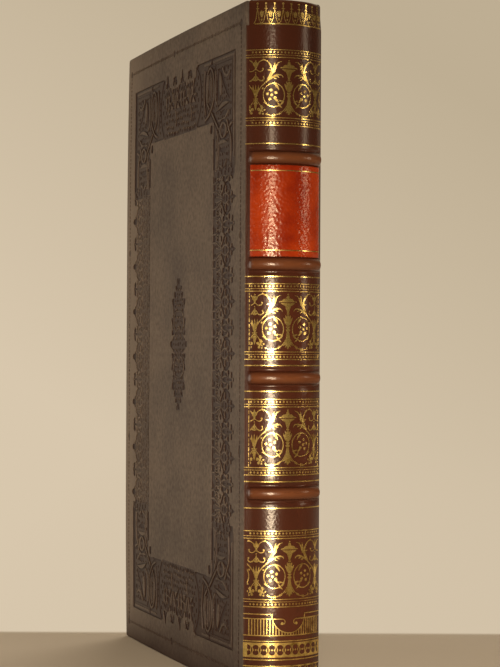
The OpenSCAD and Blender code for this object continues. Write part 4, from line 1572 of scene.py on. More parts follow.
    def frame_lines(self, drawing: Drawing, fore_edge: bool) -> None:
        """Draws the rims of a corner piece: double outer lines, inner lines and the bars that close its arms, and at
        the fore-edge a dark bar of painted shade along the outer rim.
        """
        w, arm = self.frame_w, self.arm
        drawing.paint(2, block(-0.1, 0, 1.0, arm) + block(0, 0, arm, 0.5))
        drawing.paint(0, block(1.7, 1.1, 2.5, arm - 4) + block(1.7, 1.1, arm - 8, 1.9))
        drawing.paint(2, block(3.2, 2.8, 4.0, arm - 6) + block(3.2, 2.8, arm - 12, 3.3))
        # At the fore-edge, a wide deep bar burnt dark along the outer rim: painted shade for the shadowed outer wall of
        # the pressing.
        if fore_edge:
            drawing.paint(2, block(0, 0, 3.4, arm))
        end = curve([(arm + 0.6, 0.6), (arm - 2.6, 4.5), (arm - 4.2, 11), (arm - 3.2, 18), (arm + 0.6, w - 0.4)], 4)
        beyond = [end + [(arm + 2.2, w - 0.6), (arm + 2.2, 0.6)], block(0.4, arm - 0.6, w, arm + 2.2)[0]]
        drawing.paint(1, beyond)
        drawing.paint(2, stroke(end, 2.2, 1.4, 1.1, 1.4, 2.2))
        for a, b, r in ((arm - 0.6, 5.0, 0.9), (arm - 1.4, 9.4, 1.0), (arm - 0.9, 13.6, 1.0), (arm - 0.2, 18.2, 0.9),
                        (arm + 1.0, 7.2, 0.8), (arm + 0.9, 11.4, 0.9), (arm + 1.0, 15.8, 0.9), (3.0, arm + 1.0, 1.1),
                        (7.0, arm + 0.4, 1.0), (11.2, arm + 1.2, 1.0), (15.0, arm + 0.6, 1.1), (19.0, arm + 1.2, 1.0)):
            drawing.paint(2, disc(a, b, r, 8))
        drawing.paint(2, block(w - 1.1, 30.5, w + 0.9, arm - 0.6) + block(30, w - 0.5, arm - 1, w + 0.2))
        drawing.paint(0, stroke(curve([(w - 2.6, 31.5), (w - 3.2, 37.0), (w - 2.2, arm)], 3), 0.8))
        drawing.paint(2, disc(4.4, arm - 1.0, 1.1, 8) + disc(4.6, arm + 2.2, 1.0, 8) + disc(7.6, arm + 0.6, 1.0, 8))

    def loop(self, drawing: Drawing) -> None:
        """Draws the upright loop in the short arm, and the straps that cross below it."""
        ring = [(28.6 + 4.4 * math.cos(math.radians(a)), 11.2 + 7.9 * math.sin(math.radians(a))) for a in range(0, 361, 15)]
        straps = (
            ring,
            curve([(32.0, 16.5), (29.5, 18.8), (26.5, 20.8), (23.0, 24.0), (19.0, 27.3), (15.5, 29.9), (12.5, 31.2),
                   (9.5, 29.8), (6.5, 27.3), (3.8, 26.4)], 3),
            curve([(25.2, 16.5), (27.6, 19.0), (30.5, 21.3), (34.5, 22.6)], 3),
            curve([(34.6, 3.4), (35.6, 8.0), (35.6, 14.0), (34.2, 20.5)], 3),
        )
        for path in straps:
            drawing.paint(2, stroke(path, 2.8))
            drawing.paint(0, stroke(path, 0.7))
        inner = curve([(30.6, 5.6), (31.6, 11.2), (30.6, 16.2)], 4)
        drawing.paint(0, stroke(inner, 0.6) + stroke([(28.6, 5.0), (28.4, 10.0), (28.8, 15.5)], 0.5))
        drawing.paint(0, stroke([(26.7, 7.0), (26.4, 15.0)], 0.45))
        drawing.paint(2, disc(26.4, 1.5, 1.2, 8) + disc(29.5, 6.8, 0.8, 8) + disc(30.0, 13.4, 0.7, 8) + disc(22.6, 3.6, 1.2, 8))

    def pointed_arch(self, drawing: Drawing) -> None:
        """Draws the pointed arch near the corner, with the leaves in and under it."""
        drawing.paint(2, leaf((21.4, 20.8), (5.4, 18.4), 1.7, 1.2))
        drawing.paint(0, leaf((17.6, 5.8), (16.2, 16.6), 1.25) + leaf((20.4, 20.6), (7.0, 18.6), 0.75, 1.0))
        drawing.paint(2, stroke(curve([(19.7, 16.6), (20.0, 11.0), (19.4, 7.4), (17.8, 5.0)], 3), 1.9))
        drawing.paint(2, stroke(curve([(16.9, 5.0), (13.8, 9.6), (10.6, 13.2), (6.8, 16.9)], 3), 2.2, 1.9, 1.6))
        drawing.paint(2, disc(16.9, 16.0, 1.25, 10) + disc(12.2, 5.3, 1.1, 10) + disc(6.2, 9.6, 1.2, 10))
        drawing.paint(2, disc(8.6, 5.6, 0.8, 8) + disc(8.0, 12.4, 0.8, 8) + disc(22.3, 12.0, 0.8, 8) + disc(6.0, 22.4, 1.0, 8))
        drawing.paint(0, stroke(curve([(15.2, 4.6), (12.2, 7.6), (9.2, 8.4), (6.6, 7.0)], 3), 0.6, 0.9, 0.5))
        drawing.paint(0, stroke(curve([(22.6, 5.2), (22.2, 10.0), (22.6, 15.6), (20.0, 18.4)], 3), 0.5, 0.8, 0.5))
        drawing.paint(2, leaf((17.8, 22.4), (8.4, 22.2), 1.0, 0.7))
        drawing.paint(0, stroke(curve([(19.0, 24.2), (15.4, 24.4), (11.4, 23.8), (7.6, 21.4)], 3), 0.5, 0.9, 0.5))

    def eye(self, drawing: Drawing) -> None:
        """Draws the round eye with its two dots in the long arm, and the leaves below it."""
        drawing.paint(2, oval(13.9, 28.3, 5.1, 4.2, 18))
        drawing.paint(0, oval(13.9, 28.3, 3.9, 3.0, 18))
        drawing.paint(1, oval(13.9, 28.3, 3.0, 2.2, 14))
        drawing.paint(2, disc(13.9, 26.9, 1.15, 10) + disc(13.9, 29.9, 1.15, 10))
        cross = curve([(9.6, 25.0), (7.6, 28.6), (5.6, 31.4), (5.2, 36.0), (5.8, 41.0)], 3)
        drawing.paint(2, stroke(cross, 2.5))
        drawing.paint(0, stroke(cross, 0.7))
        leaves = leaf((20.0, 33.4), (8.4, 33.4), 0.7, 0.9) + leaf((19.6, 40.2), (9.0, 39.4), 0.55, -2.2)
        drawing.paint(0, leaves + stroke(curve([(21.2, 27.8), (19.6, 31.0), (19.0, 36.0), (20.6, 42.0)], 3), 0.7))
        drawing.paint(2, leaf((18.0, 35.4), (9.2, 35.6), 0.95, -0.2) + disc(13.8, 41.2, 1.2, 8) + disc(10.4, 42.6, 1.0, 8))
        drawing.paint(2, disc(17.2, 42.4, 1.0, 8) + disc(8.4, 37.6, 0.8, 8) + disc(21.4, 35.0, 0.8, 8))

    def draw_corners(self) -> None:
        """Sets the four corner pieces, each turned into its corner."""
        for s, sign_s in ((self.s0, 1), (self.s1, -1)):
            corner = self.corner(sign_s < 0)
            for z, sign_z in ((self.z0, 1), (self.z1, -1)):
                self.drawing.add(corner, lambda shapes: [
                    [(s + sign_s * a, z + sign_z * b) for a, b in shape] for shape in shapes])

    def draw_centre(self) -> None:
        """Draws the stepped mandorla in the middle of the cover."""
        shapes = oval(0, 0, 9.6, 4.3, 16) + mirrored([(0.01, 1.2), (10.6, 1.1), (11.2, 0.0), (10.6, -1.1), (0.01, -1.2)])
        steps = ((8.3, 3.5, 10.6), (6.8, 10.2, 15.6), (7.8, 15.2, 18.2), (5.2, 18.0, 21.0), (3.4, 20.8, 23.4),
                 (1.7, 23.2, 26.2))
        for half, low, high in steps:
            for end in (-1, 1):
                shapes += block(-half, min(end * low, end * high), half, max(end * low, end * high))
                shapes += both_sides(disc(half, end * (high - 0.9), 0.95, 8))
        drawing = Drawing()
        drawing.paint(1, shapes)
        chance = random.Random(3)
        for y in np.arange(-22.0, 23.0, 2.2):
            half = 6.6 if abs(y) < 18.6 else 2.6
            for x in np.arange(-half, half + 0.1, 2.2):
                drawing.paint(2, disc(x + chance.uniform(-0.4, 0.4), y + chance.uniform(-0.4, 0.4), 0.6, 6))
        for end in (-1, 1):
            drawing.paint(2, both_sides(disc(7.6, end * 9.0, 1.2, 8) + disc(7.3, end * 16.7, 1.3, 8)))
            drawing.paint(2, both_sides(disc(4.6, end * 19.6, 1.1, 8) + disc(2.9, end * 22.4, 0.9, 8)))
            drawing.paint(2, disc(0, end * 24.8, 1.1, 8) + both_sides(disc(8.0, end * 4.6, 1.1, 8)))
            for x, y in ((1.2, 21.6), (2.4, 18.6), (4.6, 16.8), (1.1, 15.4), (3.4, 13.8), (5.2, 11.6), (1.6, 10.6),
                         (3.2, 8.4), (5.9, 7.2), (0.9, 6.2), (7.6, 2.6), (5.6, 3.6), (3.6, 2.4), (1.8, 3.4)):
                drawing.paint(0, both_sides(disc(x, end * y, 0.42, 6)))
            knot = curve([(0.0, end * 13.2), (4.4, end * 12.4), (6.4, end * 8.6), (3.4, end * 5.0), (0.0, end * 7.4)], 4)
            drawing.paint(0, both_sides(stroke(knot, 0.25)))
        drawing.paint(2, both_sides(disc(9.4, 0.0, 1.4, 8)) + disc(0, 0, 0.9, 8))
        self.drawing.add(drawing, lambda outlines: moved(outlines, (self.s0 + self.s1) / 2 + 0.6, 126.1))

    def draw_dotted_line(self) -> None:
        """Draws the line of small stamps, with a rosette here and there, that runs near the cover's edges."""
        s0, s1, z0, z1 = 5.5, self.sizes.cover_w - 5.8, 7.4, self.sizes.height - 7.4
        chance = random.Random(11)
        for s in np.arange(s0 + 2, s1 - 1.5, self.dot_pitch):
            for z in (z0, z1):
                self.drawing.paint(1, oval(s, z, 0.75, chance.uniform(0.5, 0.9), 6))
        for z in np.arange(z0 + 2, z1 - 1.5, self.dot_pitch):
            for s in (s0, s1):
                self.drawing.paint(1, oval(s, z, chance.uniform(0.6, 1.0), 0.75, 6))
        rosettes = [(s, z) for s in (s0, s1) for z in (z0, 87.0, 165.5, z1)] + [(84.0, z) for z in (z0, z1)]
        for s, z in rosettes:
            self.drawing.paint(1, disc(s, z, 1.5, 10))


@dataclass
class Cover(SubAssembly):
    """One cover: tooled leather over the board with its turn-ins, and the inner faces."""

    side: Side = Side.REAR
    face: Mosaic | None = None
    edge_r: float = 1.0
    inner_r: float = 0.5
    turnin_w: float = 8.0
    turnin_t: float = 0.5
    corner_r: float = 1.6
    back_corner_h: float = 9.0
    back_corner_w: float = 1.8
    grid_step: float = 4.0

    def outline(self, inset: float, slant: float = 1.0) -> np.ndarray:
        """Edge of the cover, drawn in by a distance, always with the same number of points.

        Args:
            inset: How far it is drawn in.
            slant: Share of the slanted back corners that is left.

        Returns:
            Points in order, anticlockwise in distances from the joint and the tail.
        """
        r = max(self.corner_r - inset, 0.3)
        s1, z0, z1 = self.sizes.cover_w - inset, inset, self.sizes.height - inset
        back_h, back_w = self.back_corner_h * slant, self.back_corner_w * slant
        points = [(inset, z0 + back_h), (inset + back_w, z0)]
        points += [(s, z0) for s in np.linspace(inset + back_w, s1 - r, 24)[1:-1]]
        points += arc(s1 - r, z0 + r, r, -90, 0, 4)
        points += [(s1, z) for z in np.linspace(z0 + r, z1 - r, 36)[1:-1]]
        points += arc(s1 - r, z1 - r, r, 0, 90, 4)
        points += [(s, z1) for s in np.linspace(s1 - r, inset + back_w, 24)[1:-1]]
        points += [(inset + back_w, z1), (inset, z1 - back_h)]
        points += [(inset, z) for z in np.linspace(z1 - back_h, z0 + back_h, 30)[1:-1]]
        return np.array(points)

    def cut_face(self) -> Mosaic:
        """Cuts the tooled face into triangles."""
        rim = [tuple(p) for p in self.outline(self.edge_r)]
        steps = np.arange(self.edge_r + 2, self.sizes.cover_w - 2, self.grid_step)
        heights = np.arange(self.edge_r + 2, self.sizes.height - 2, self.grid_step)
        grid = [(s + 0.013, z + 0.017) for s in steps for z in heights if s > 4 or 12 < z < self.sizes.height - 12]
        return BlindTooling(self.sizes).draw().cut(rim, grid)

    def relief(self, mosaic: Mosaic, wall: float = 0.12) -> tuple[np.ndarray, list[tuple[int, ...]], np.ndarray]:
        """Presses the drawing into the face, with sloping walls between the levels.

        Args:
            mosaic: The drawing.
            wall: How far a wall leans in over its whole depth.

        Returns:
            Points with their depth, the faces, and the tooled share of each point.
        """
        depths = np.array([depth.value for depth in Depth])
        key = mosaic.triangles * len(depths) + mosaic.levels[:, None]
        kinds, index = np.unique(key, return_inverse=True)
        index = index.reshape(-1, 3)
        level = kinds % len(depths)
        flat = mosaic.points[kinds // len(depths)].copy()
        faces = [tuple(t) for t in index.tolist()]
        owner = {}
        for t, triangle in enumerate(mosaic.triangles.tolist()):
            for k in range(3):
                owner[(triangle[k], triangle[(k + 1) % 3])] = (t, k)
        lean = np.zeros_like(flat)
        for (a, b), (t, k) in owner.items():
            twin = owner.get((b, a))
            if twin is None or mosaic.levels[t] >= mosaic.levels[twin[0]]:
                continue
            other, j = twin
            high_a, high_b = index[t][k], index[t][(k + 1) % 3]
            low_b, low_a = index[other][j], index[other][(j + 1) % 3]
            faces.append((high_b, high_a, low_a, low_b))
            step = mosaic.points[b] - mosaic.points[a]
            away = np.array([step[1], -step[0]]) / (np.linalg.norm(step) + 1e-9)
            lean[low_a] += away
            lean[low_b] += away
        length = np.linalg.norm(lean, axis=1)[:, None]
        flat += np.where(length > 1e-6, lean / np.maximum(length, 1e-6), 0) * wall
        s, z = flat.T
        across, up = abs(s - 76.2), abs(z - 124.0)
        lace = (s > 113) & (s < 136.5) & (up < 64)
        corner = (across > 21.6) & (up > 66.8) & ((across > 40.6) | (up > 85.8)) & (across < 63.8) & (up < 109.2)
        tooled = np.where(lace, 0.62, 1.0) * np.array([0.0, 0.75, 1.0])[level]
        tooled[corner & (level == 0)] = 0.22
        return np.column_stack([flat, depths[level]]), faces, tooled

    def build(self) -> None:
        """Makes the closed shell of leather: face, rounded edges, turn-ins and the pocket for the board."""
        sizes = self.sizes
        self.face = self.face or self.cut_face()
        points, faces, tooled = self.relief(self.face)
        rim = self.outline(self.edge_r)
        nearest = {tuple(np.round(p, 3)): k for k, p in enumerate(points[:, :2]) if points[k, 2] == 0.0}
        ring = [nearest[tuple(np.round(p, 3))] for p in rim]
        stack = [points]
        total = len(points)
        turns = np.linspace(0, math.pi / 2, 5)[1:]
        levels = [(self.edge_r * (1 - math.sin(a)), self.edge_r * (1 - math.cos(a)), 1.0) for a in turns]
        bottom = sizes.cover_t
        levels += [(0.0, bottom - self.inner_r, 1.0)]
        levels += [(self.inner_r * (1 - math.cos(a)), bottom - self.inner_r * (1 - math.sin(a)), 1.0)
                   for a in np.linspace(0, math.pi / 2, 4)[1:]]
        levels += [(self.turnin_w - 0.3, bottom, 0.0), (self.turnin_w, bottom - 0.2, 0.0)]
        levels += [(self.turnin_w, bottom - self.turnin_t, 0.0), (sizes.leather_t, bottom - self.turnin_t, 1.0)]
        levels += [(sizes.leather_t, sizes.leather_t, 1.0)]
        for inset, depth, slant in levels:
            loop = self.outline(inset, slant)
            fresh = list(range(total, total + len(loop)))
            stack.append(np.column_stack([loop, np.full(len(loop), depth)]))
            faces += [(ring[k - 1], fresh[k - 1], fresh[k], ring[k]) for k in range(len(loop))]
            ring = fresh
            total += len(loop)
        floor = Drawing().cut([tuple(p) for p in loop], [
            (s, z) for s in np.arange(6, sizes.cover_w - 3, 9.0) for z in np.arange(12, sizes.height - 10, 12.0)])
        stack.append(np.column_stack([floor.points, np.full(len(floor.points), sizes.leather_t)]))
        lookup = {tuple(np.round(p, 3)): k for k, p in zip(ring, loop)}
        match = [lookup.get(tuple(np.round(p, 3)), total + k) for k, p in enumerate(floor.points)]
        faces += [tuple(match[i] for i in triangle[::-1]) for triangle in floor.triangles.tolist()]
        flat = np.concatenate(stack)
        shade = np.zeros(len(flat))
        shade[:len(tooled)] = tooled
        place = sizes.on_cover(self.side)
        solid = place(flat[:, 0], flat[:, 1], flat[:, 2])
        name = f"{self.side.name.lower()}_cover_skin"
        self.skin = make_piece(name, solid, faces, 35.0, {"tooled": shade}, flip=self.side is Side.REAR)

    def dress(self) -> None:
        """Gives the leather and the solids of the cover their finishes."""
        prefix = self.side.name.lower()
        self.attach(self.skin, self.finishes.cover, self.side.body, "cover_leather", f"{prefix}_leather")
        repaint(f"{prefix}_board", self.finishes.board)
        repaint(f"{prefix}_pastedown", self.finishes.endpaper)


@dataclass
class Joint(SubAssembly):
    """Leather that bridges the groove between the spine and one cover, with the gilt lines that cross it."""

    side: Side = Side.REAR
    gold_lines: Sequence[tuple[float, float]] = ()
    leather_t: float = 0.12
    end_gap: float = 9.2

    def section(self, lift: float, thick: float) -> np.ndarray:
        """Closed outline of the strip, seen along the joint.

        Args:
            lift: How far its outer face stands out from the leather's face.
            thick: Its thickness.

        Returns:
            Points in X and Y for the front cover's side.
        """
        sizes = self.sizes
        spine = sizes.spine_half
        bend_x, bend_y = sizes.half_w - 1.0, sizes.joint_y + 1.0
        rim = [(bend_x + 1.0 * math.cos(a), bend_y + 1.0 * math.sin(a)) for a in np.radians([-68, -50, -32, -14])]
        path = curve([(spine - 0.28, sizes.joint_y - 0.5), (spine + 0.06, sizes.joint_y - 0.22), *rim], 3)
        line = np.array(path)
        along = np.gradient(line, axis=0)
        along /= np.linalg.norm(along, axis=1)[:, None]
        out = np.column_stack([along[:, 1], -along[:, 0]])
        fade = np.linspace(1, 0, len(line))[:, None] ** 2
        face = line + out * (0.04 + lift - 0.05 * (1 - fade))
        return np.concatenate([face, (face - out * thick)[::-1]])

    def sweep(self, name: str, section: np.ndarray, runs: Sequence[Sequence[float]]) -> bpy.types.Object:
        """Draws a section along the joint over one or more runs of heights.

        Args:
            name: The piece's name.
            section: The closed outline.
            runs: Heights of the rings of each run, from low to high.

        Returns:
            The new object.
        """
        count = len(section)
        points: list[tuple[float, float, float]] = []
        faces: list[tuple[int, ...]] = []
        for heights in runs:
            base = len(points)
            points += [(self.side.value * x, y, z) for z in heights for x, y in section]
            for a in range(base, base + count * (len(heights) - 1), count):
                faces += [(a + i, a + (i + 1) % count, a + (i + 1) % count + count, a + i + count) for i in range(count)]
            last = base + count * (len(heights) - 1)
            faces += [tuple(range(base, base + count))[::-1], tuple(range(last, last + count))]
        shades = {"rubbed": np.zeros(len(points))}
        return make_piece(name, np.array(points), faces, 50.0, shades, flip=self.side is Side.REAR)

    def build(self) -> None:
        """Makes the strip and the ends of the gilt lines on it."""
        low, high = self.end_gap, self.sizes.height - self.end_gap
        prefix = self.side.name.lower()
        self.strip = self.sweep(f"{prefix}_joint", self.section(0.0, self.leather_t), [np.linspace(low, high, 60)])
        runs = [(z - width / 2, z + width / 2) for z, width in self.gold_lines if low + 1 < z < high - 1]
        self.gold = self.sweep(f"{prefix}_joint_gold", self.section(0.04, 0.08), runs)

    def dress(self) -> None:
        """Gives strip and gold their finishes and bakes their place into their meshes."""
        for piece, material, slot in (
            (self.strip, self.finishes.spine, "spine_leather"), (self.gold, self.finishes.gold, "gold_leaf")):
            piece.data.materials.append(material)
            self.side.body
            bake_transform(piece)


# Inside of the book


@dataclass
class TextBlock(SubAssembly):
    """The pages, drawn as a stack of slightly uneven leaves, and the sewing structure round them."""

    leaves: int = 80

    def build(self) -> None:
        """Stacks the leaves."""
        sizes = self.sizes
        low, high = box_mm("text_block")
        half = high.x
        pitch = 2 * half / self.leaves
        back = low.y
        fore = high.y
        back_r = sizes.axis_y - back
        hollow = 4.5
        fore_r = (half * half + hollow * hollow) / (2 * hollow)
        ys = [back + 0.12, *(np.linspace(sizes.joint_y + sizes.cup_start, fore - hollow, 8))]
        thick = pitch * 0.46
        section = [(y, z) for y in ys for z in (low.z + 0.1, high.z - 0.1)]
        points = np.array([(x, y, z) for x in (-thick, thick) for y, z in section])
        count = len(section)
        faces = []
        for k in range(0, count - 2, 2):
            a, b, c, d = k, k + 2, k + 3, k + 1
            faces.append((d, c, b, a))
            faces.append((a + count, b + count, c + count, d + count))
            faces.append((a, b, b + count, a + count))
            faces.append((d + count, c + count, c, d))
        faces.append((0, count, count + 1, 1))
        faces.append((count - 1, 2 * count - 1, 2 * count - 2, count - 2))
        page = make_piece("pages", points, faces, 30.0)
        taper = sizes.cup_depth / (sizes.cover_w - sizes.cup_start) ** 2 / half
        self.pages = grown(page, leaf_stack(), {
            "Count": self.leaves, "Pitch": pitch * MM, "Unevenness": 0.1 * MM, "Seed": 7,
            "Back": ys[0] * MM, "Leaf width": (ys[-1] - ys[0]) * MM, "Back radius": back_r * MM,
            "Fore radius": fore_r * MM, "Taper start": (sizes.joint_y + sizes.cup_start) * MM,
            "Taper": taper / MM / MM, "Finish": self.finishes.edges})

    def dress(self) -> None:
        """Gives the pages and the solids round them their finishes."""
        self.attach(self.pages, self.finishes.edges, "book", "page_edges", "text_block")
        for node in ("front_flyleaf", "rear_flyleaf"):
            repaint(node, self.finishes.endpaper)
        repaint("spine_cloth", self.finishes.cloth)
        repaint("spine_hollow", self.finishes.card)
        for number in (1, 2, 3, 4):
            repaint(f"band_core_{number}", self.finishes.cord)


@dataclass
class Endbands(SubAssembly):
    """Endbands at head and tail: a cord wrapped with turns of red and cream silk."""

    silk_r: float = 0.2

    def ring(self, name: str, radius: float, z: float, cord_r: float) -> bpy.types.Object:
        """One turn of silk round the cord, about the spine's axis.

        Args:
            name: The piece's name.
            radius: Distance of the cord from the axis.
            z: Height of the cord.
            cord_r: Radius of the turn.

        Returns:
            The new object.
        """
        around, across = 14, 6
        points = []
        for a in np.arange(around) * 2 * math.pi / around:
            for b in np.arange(across) * 2 * math.pi / across:
                r = cord_r + self.silk_r * math.cos(b)
                points.append((self.silk_r * math.sin(b), -radius + r * math.cos(a), z + r * math.sin(a)))
        faces = [
            (i * across + j, i * across + (j + 1) % across,
             (i + 1) % around * across + (j + 1) % across, (i + 1) % around * across + j)
            for i in range(around) for j in range(across)]
        return make_piece(name, np.array(points), faces, 180.0)

    def build(self) -> None:
        """Makes the core and both silks of each endband."""
        sizes = self.sizes
        tree = turning_row()
        self.sets = {}
        for label in ("head", "tail"):
            low, high = box_mm(f"{label}_endband")
            z = (low.z + high.z) / 2
            cord_r = (high.z - low.z) / 2
            radius = sizes.axis_y - low.y - cord_r
            reach = math.asin((high.x - 0.7 * cord_r) / radius)
            step = 0.44 / radius
            turns = int(2 * reach / step)
            first = -step * (turns - 1) / 2
            rows = []
            for colour, offset in (("red", 0), ("cream", 1)):
                piece = self.ring(f"{label}_endband_{colour}", radius, z, cord_r - self.silk_r)
                material = self.finishes.silk_red if colour == "red" else self.finishes.silk_cream
                grown(piece, tree, {
                    "Count": (turns - offset + 1) // 2, "First angle": first + offset * step, "Step": 2 * step,
                    "Axis": (0.0, sizes.axis_y * MM, 0.0), "Finish": material})
                rows.append((piece, material))
            rows.append((self.core(f"{label}_endband_core", radius, z, cord_r - 1.5 * self.silk_r, reach),
                         self.finishes.cord))
            self.sets[label] = rows

    def core(self, name: str, radius: float, z: float, cord_r: float, reach: float) -> bpy.types.Object:
        """Cord in the middle of an endband."""
        around, along = 10, 40
        points = []
        for angle in np.linspace(-reach, reach, along):
            for b in np.arange(around) * 2 * math.pi / around:
                r = radius + cord_r * math.cos(b)
                points.append((r * math.sin(angle), self.sizes.axis_y - r * math.cos(angle), z + cord_r * math.sin(b)))
        faces = [
            (i * around + j, i * around + (j + 1) % around,
             (i + 1) * around + (j + 1) % around, (i + 1) * around + j)
            for i in range(along - 1) for j in range(around)]
        faces += [tuple(range(around))[::-1], tuple(range(len(points) - around, len(points)))]
        return make_piece(name, np.array(points), faces, 60.0)

    def dress(self) -> None:
        """Gives the silks and the core their finishes."""
        for label, rows in self.sets.items():
            for piece, material in rows:
                stands_for = (f"{label}_endband",) if piece.name.endswith("core") else ()
                self.attach(piece, material, "book", "endband_silk", *stands_for)


def repaint(node: str, material: bpy.types.Material) -> None:
    """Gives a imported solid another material."""
    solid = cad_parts[node]
    solid.data.materials.clear()
    solid.data.materials.append(material)


# Studio


@dataclass
class Studio:
    """Pale floor, backdrop, soft lamps, and the camera at the photograph's place."""

    camera_mm: tuple[float, float, float] = (-254.25, -723.8, 121.86)
    forward: tuple[float, float, float] = (0.34757, 0.93759, 0.01126)
    upward: tuple[float, float, float] = (-0.00837, -0.0089, 0.99993)
    lens: float = 104.13
    wall_start_mm: float = 848.0
    wall_mm: float = 2600.0
    # Colour of the painted shade that the backdrop's glow fades into, higher up and to one side.
    shade: str = "#beae93"
    fall_start: float = 0.14
    fall_up: float = 1.31
    fall_across: float = 0.82

    def build(self) -> None:
        """Makes everything round the book."""
        self.build_camera()
        self.build_stage()
        self.build_lamps()
        self.build_world()

    def build_camera(self) -> None:
        """Sets the camera where the photograph was taken."""
        data = bpy.data.cameras.new("camera")
        data.lens = self.lens
        data.clip_end = 20.0
        camera = bpy.data.objects.new("camera", data)
        back = -Vector(self.forward).normalized()
        right = Vector(self.upward).cross(back).normalized()
        up = back.cross(right)
        turn = Matrix((right, up, back)).transposed().to_4x4()
        camera.matrix_world = Matrix.Translation(Vector(self.camera_mm) * MM) @ turn
        bpy.context.scene.collection.objects.link(camera)
        bpy.context.scene.camera = camera

    def stage_material(self, name: str, near: str, far: str, line_mm: float) -> bpy.types.Material:
        """Matt sheet that is lit up to a line and glows beyond it, in a colour that fades into painted shade higher up
        and to one side.

        Args:
            name: The material's name.
            near: Colour in front of the line.
            far: Colour behind it, as the camera sees it.
            line_mm: Distance of the line from the camera along its view.

        Returns:
            The material.
        """
        material = bpy.data.materials.new(name)
        material.use_nodes = True
        tree = material.node_tree
        tree.nodes.clear()
        place = add_node(tree, "ShaderNodeTexCoord").outputs["Object"]
        heading = Vector((self.forward[0], self.forward[1], 0)).normalized()
        dot = add_node(tree, "ShaderNodeVectorMath", {0: place}, {1: tuple(heading)}, operation="DOT_PRODUCT")
        start = heading.dot(Vector(self.camera_mm)) * MM + line_mm * MM
        beyond = add_node(
            tree, "ShaderNodeMapRange", {"Value": dot.outputs["Value"]},
            {"From Min": start - 0.004, "From Max": start + 0.004}, interpolation_type="SMOOTHSTEP")
        path = add_node(tree, "ShaderNodeLightPath")
        seen = add_node(
            tree, "ShaderNodeMath", {0: path.outputs["Is Camera Ray"], 1: path.outputs["Is Glossy Ray"]},
            operation="MAXIMUM")
        seen = add_node(
            tree, "ShaderNodeMath", {0: seen.outputs[0], 1: path.outputs["Is Transmission Ray"]},
            operation="MAXIMUM")
        share = add_node(tree, "ShaderNodeMath", {0: seen.outputs[0], 1: beyond.outputs[0]}, operation="MULTIPLY")
        # Painted shade: the glow beyond the line fades from the far colour into the shade colour with height and to one
        # side.
        across = Vector((heading.y, -heading.x, 0)) * self.fall_across
        climb = add_node(
            tree, "ShaderNodeVectorMath", {0: place}, {1: (across.x, across.y, self.fall_up)},
            operation="DOT_PRODUCT")
        zero = across.dot(Vector(self.camera_mm)) * MM - self.fall_start
        dim = add_node(
            tree, "ShaderNodeMapRange", {"Value": climb.outputs["Value"]}, {"From Min": zero, "From Max": zero + 1})
        tone = add_node(
            tree, "ShaderNodeMix", {0: dim.outputs[0]}, {6: linear(far), 7: linear(self.shade)}, data_type="RGBA")
        matt = add_node(tree, "ShaderNodeBsdfDiffuse", values={"Color": linear(near)})
        glow = add_node(tree, "ShaderNodeEmission", {"Color": tone.outputs[2]})
        mix = add_node(tree, "ShaderNodeMixShader", {0: share.outputs[0], 1: matt.outputs[0], 2: glow.outputs[0]})
        add_node(tree, "ShaderNodeOutputMaterial", {"Surface": mix.outputs[0]})
        return material

    def build_stage(self) -> None:
        """Lays the floor and hangs the backdrop far behind."""
        heading = Vector((self.forward[0], self.forward[1], 0)).normalized()
        across = Vector((heading.y, -heading.x, 0))
        eye = Vector((self.camera_mm[0], self.camera_mm[1], 0)) * MM
        far = eye + heading * self.wall_mm * MM
        near = eye - heading * 1.5
        corners = [near - across * 3, near + across * 3, far + across * 3, far - across * 3]
        sheet = self.stage_material("floor_sheet", "#c9baa3", "#d8c7ad", self.wall_start_mm)
        wall = self.stage_material("backdrop_sheet", "#d3c2a8", "#d8c7ad", self.wall_start_mm)
        up = Vector((0, 0, 2.5))
        for name, points, material in (
            ("floor", corners, sheet),
            ("backdrop", [corners[3], corners[2], corners[2] + up, corners[3] + up], wall),
        ):
            mesh = bpy.data.meshes.new(name)
            mesh.from_pydata([tuple(p) for p in points], [], [(0, 1, 2, 3)])
            mesh.materials.append(material)
            sheet_object = bpy.data.objects.new(name, mesh)
            bpy.context.scene.collection.objects.link(sheet_object)
            sheet_object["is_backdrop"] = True

    def lamp(
        self, name: str, azimuth: float, distance: float, height: float, size: tuple[float, float], watts: float,
        colour: tuple[float, float, float] = (1.0, 0.93, 0.84), lean: float = 0.0, spread: float = 180.0,
    ) -> None:
        """Hangs one soft lamp that looks at the book.

        Args:
            name: The lamp's name.
            azimuth: Angle in degrees from -Y towards +X.
            distance: Distance from the book in metres.
            height: Height above the floor in metres.
            size: Width and height of the lamp in metres.
            watts: Its power.
            colour: Its colour.
            lean: Angle in degrees by which it is turned about the line to the book.
            spread: Angle in degrees of the cone that it lights.
        """
        data = bpy.data.lights.new(name, "AREA")
        data.shape = "RECTANGLE"
        data.size, data.size_y = size
        data.energy = watts
        data.color = colour
        data.spread = math.radians(spread)
        lamp = bpy.data.objects.new(name, data)
        a = math.radians(azimuth)
        spot = Vector((math.sin(a) * distance, -math.cos(a) * distance, height))
        aim = Vector((0, -0.06, min(height, 0.125)))
        turn = (aim - spot).to_track_quat("-Z", "Y").to_matrix().to_4x4()
        lamp.matrix_world = Matrix.Translation(spot) @ turn @ Matrix.Rotation(math.radians(lean), 4, "Z")
        lamp.visible_camera = False
        lamp.visible_glossy = distance < 1.5
        bpy.context.scene.collection.objects.link(lamp)

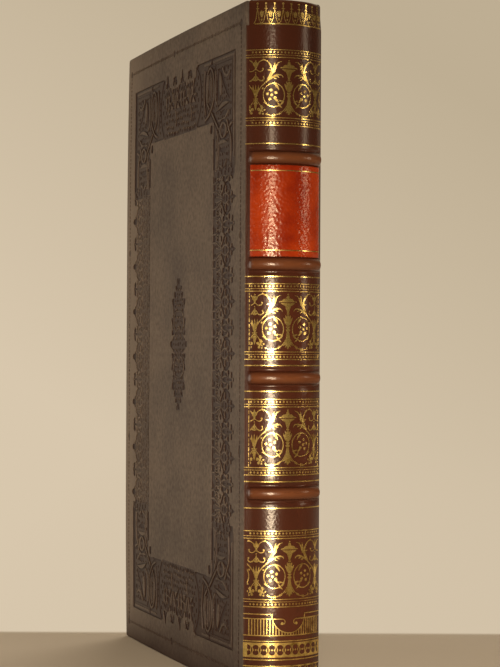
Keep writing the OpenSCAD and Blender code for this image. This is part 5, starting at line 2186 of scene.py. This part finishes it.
    def build_lamps(self) -> None:
        """Hangs the lamps: two tall ones that draw the streaks on the spine, and broad fills."""
        warm = (1.0, 0.88, 0.72)
        self.lamp("streak_low", -15.0, 0.436, 0.085, (0.055, 0.16), 0.31, warm, 12.0, 80.0)
        self.lamp("streak_high", -16.5, 0.68, 0.235, (0.08, 0.19), 0.14, warm, 5.0, 80.0)
        self.lamp("streak_right", 53, 0.68, 0.25, (0.05, 0.24), 0.08, warm, 0.0, 80.0)
        self.lamp("edge_glint", -60, 0.645, 0.1, (0.1, 0.22), 0.03, warm, 0.0, 80.0)
        self.lamp("cover_fill", -92, 1.3, 0.9, (1.0, 1.0), 1.0)
        self.lamp("fore_edge_fill", -130, 0.42, 0.1, (0.2, 0.3), 0.4)
        self.lamp("low_fill", -88, 0.85, 0.06, (0.5, 0.2), 0.9)
        self.lamp("top_fill", 10, 1.5, 1.6, (1.4, 1.0), 8.0)
        self.lamp("back_fill", 140, 1.6, 1.2, (1.2, 1.2), 18.0)

    def build_world(self) -> None:
        """Gives the room a plain dim light."""
        world = bpy.data.worlds.new("room")
        world.use_nodes = True
        world.node_tree.nodes["Background"].inputs["Color"].default_value = linear("#a08c74")
        world.node_tree.nodes["Background"].inputs["Strength"].default_value = 0.35
        bpy.context.scene.world = world


def main() -> None:
    """Builds and dresses the book, and logs each piece."""
    logging.basicConfig(level=logging.INFO, format="%(message)s")
    scene = bpy.context.scene
    scene.view_settings.view_transform = "Standard"
    Studio().build()
    sizes = BookSizes.from_frame()
    finishes = Finishes()
    rear = Cover(sizes, finishes, Side.REAR)
    rear.build()
    gilding = Gilding(sizes, finishes)
    parts: list[SubAssembly] = [
        SpineSkin(sizes, finishes),
        gilding,
        Cover(sizes, finishes, Side.FRONT, rear.face),
        Joint(sizes, finishes, Side.REAR, gilding.across()),
        Joint(sizes, finishes, Side.FRONT, gilding.across()),
        TextBlock(sizes, finishes),
        Endbands(sizes, finishes),
    ]
    for part in parts:
        part.build()
    for part in [rear, *parts]:
        part.dress()
    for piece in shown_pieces():
        LOG.info("%s: %d faces", piece.name, len(piece.data.polygons))


if __name__ == "__main__":
    main()
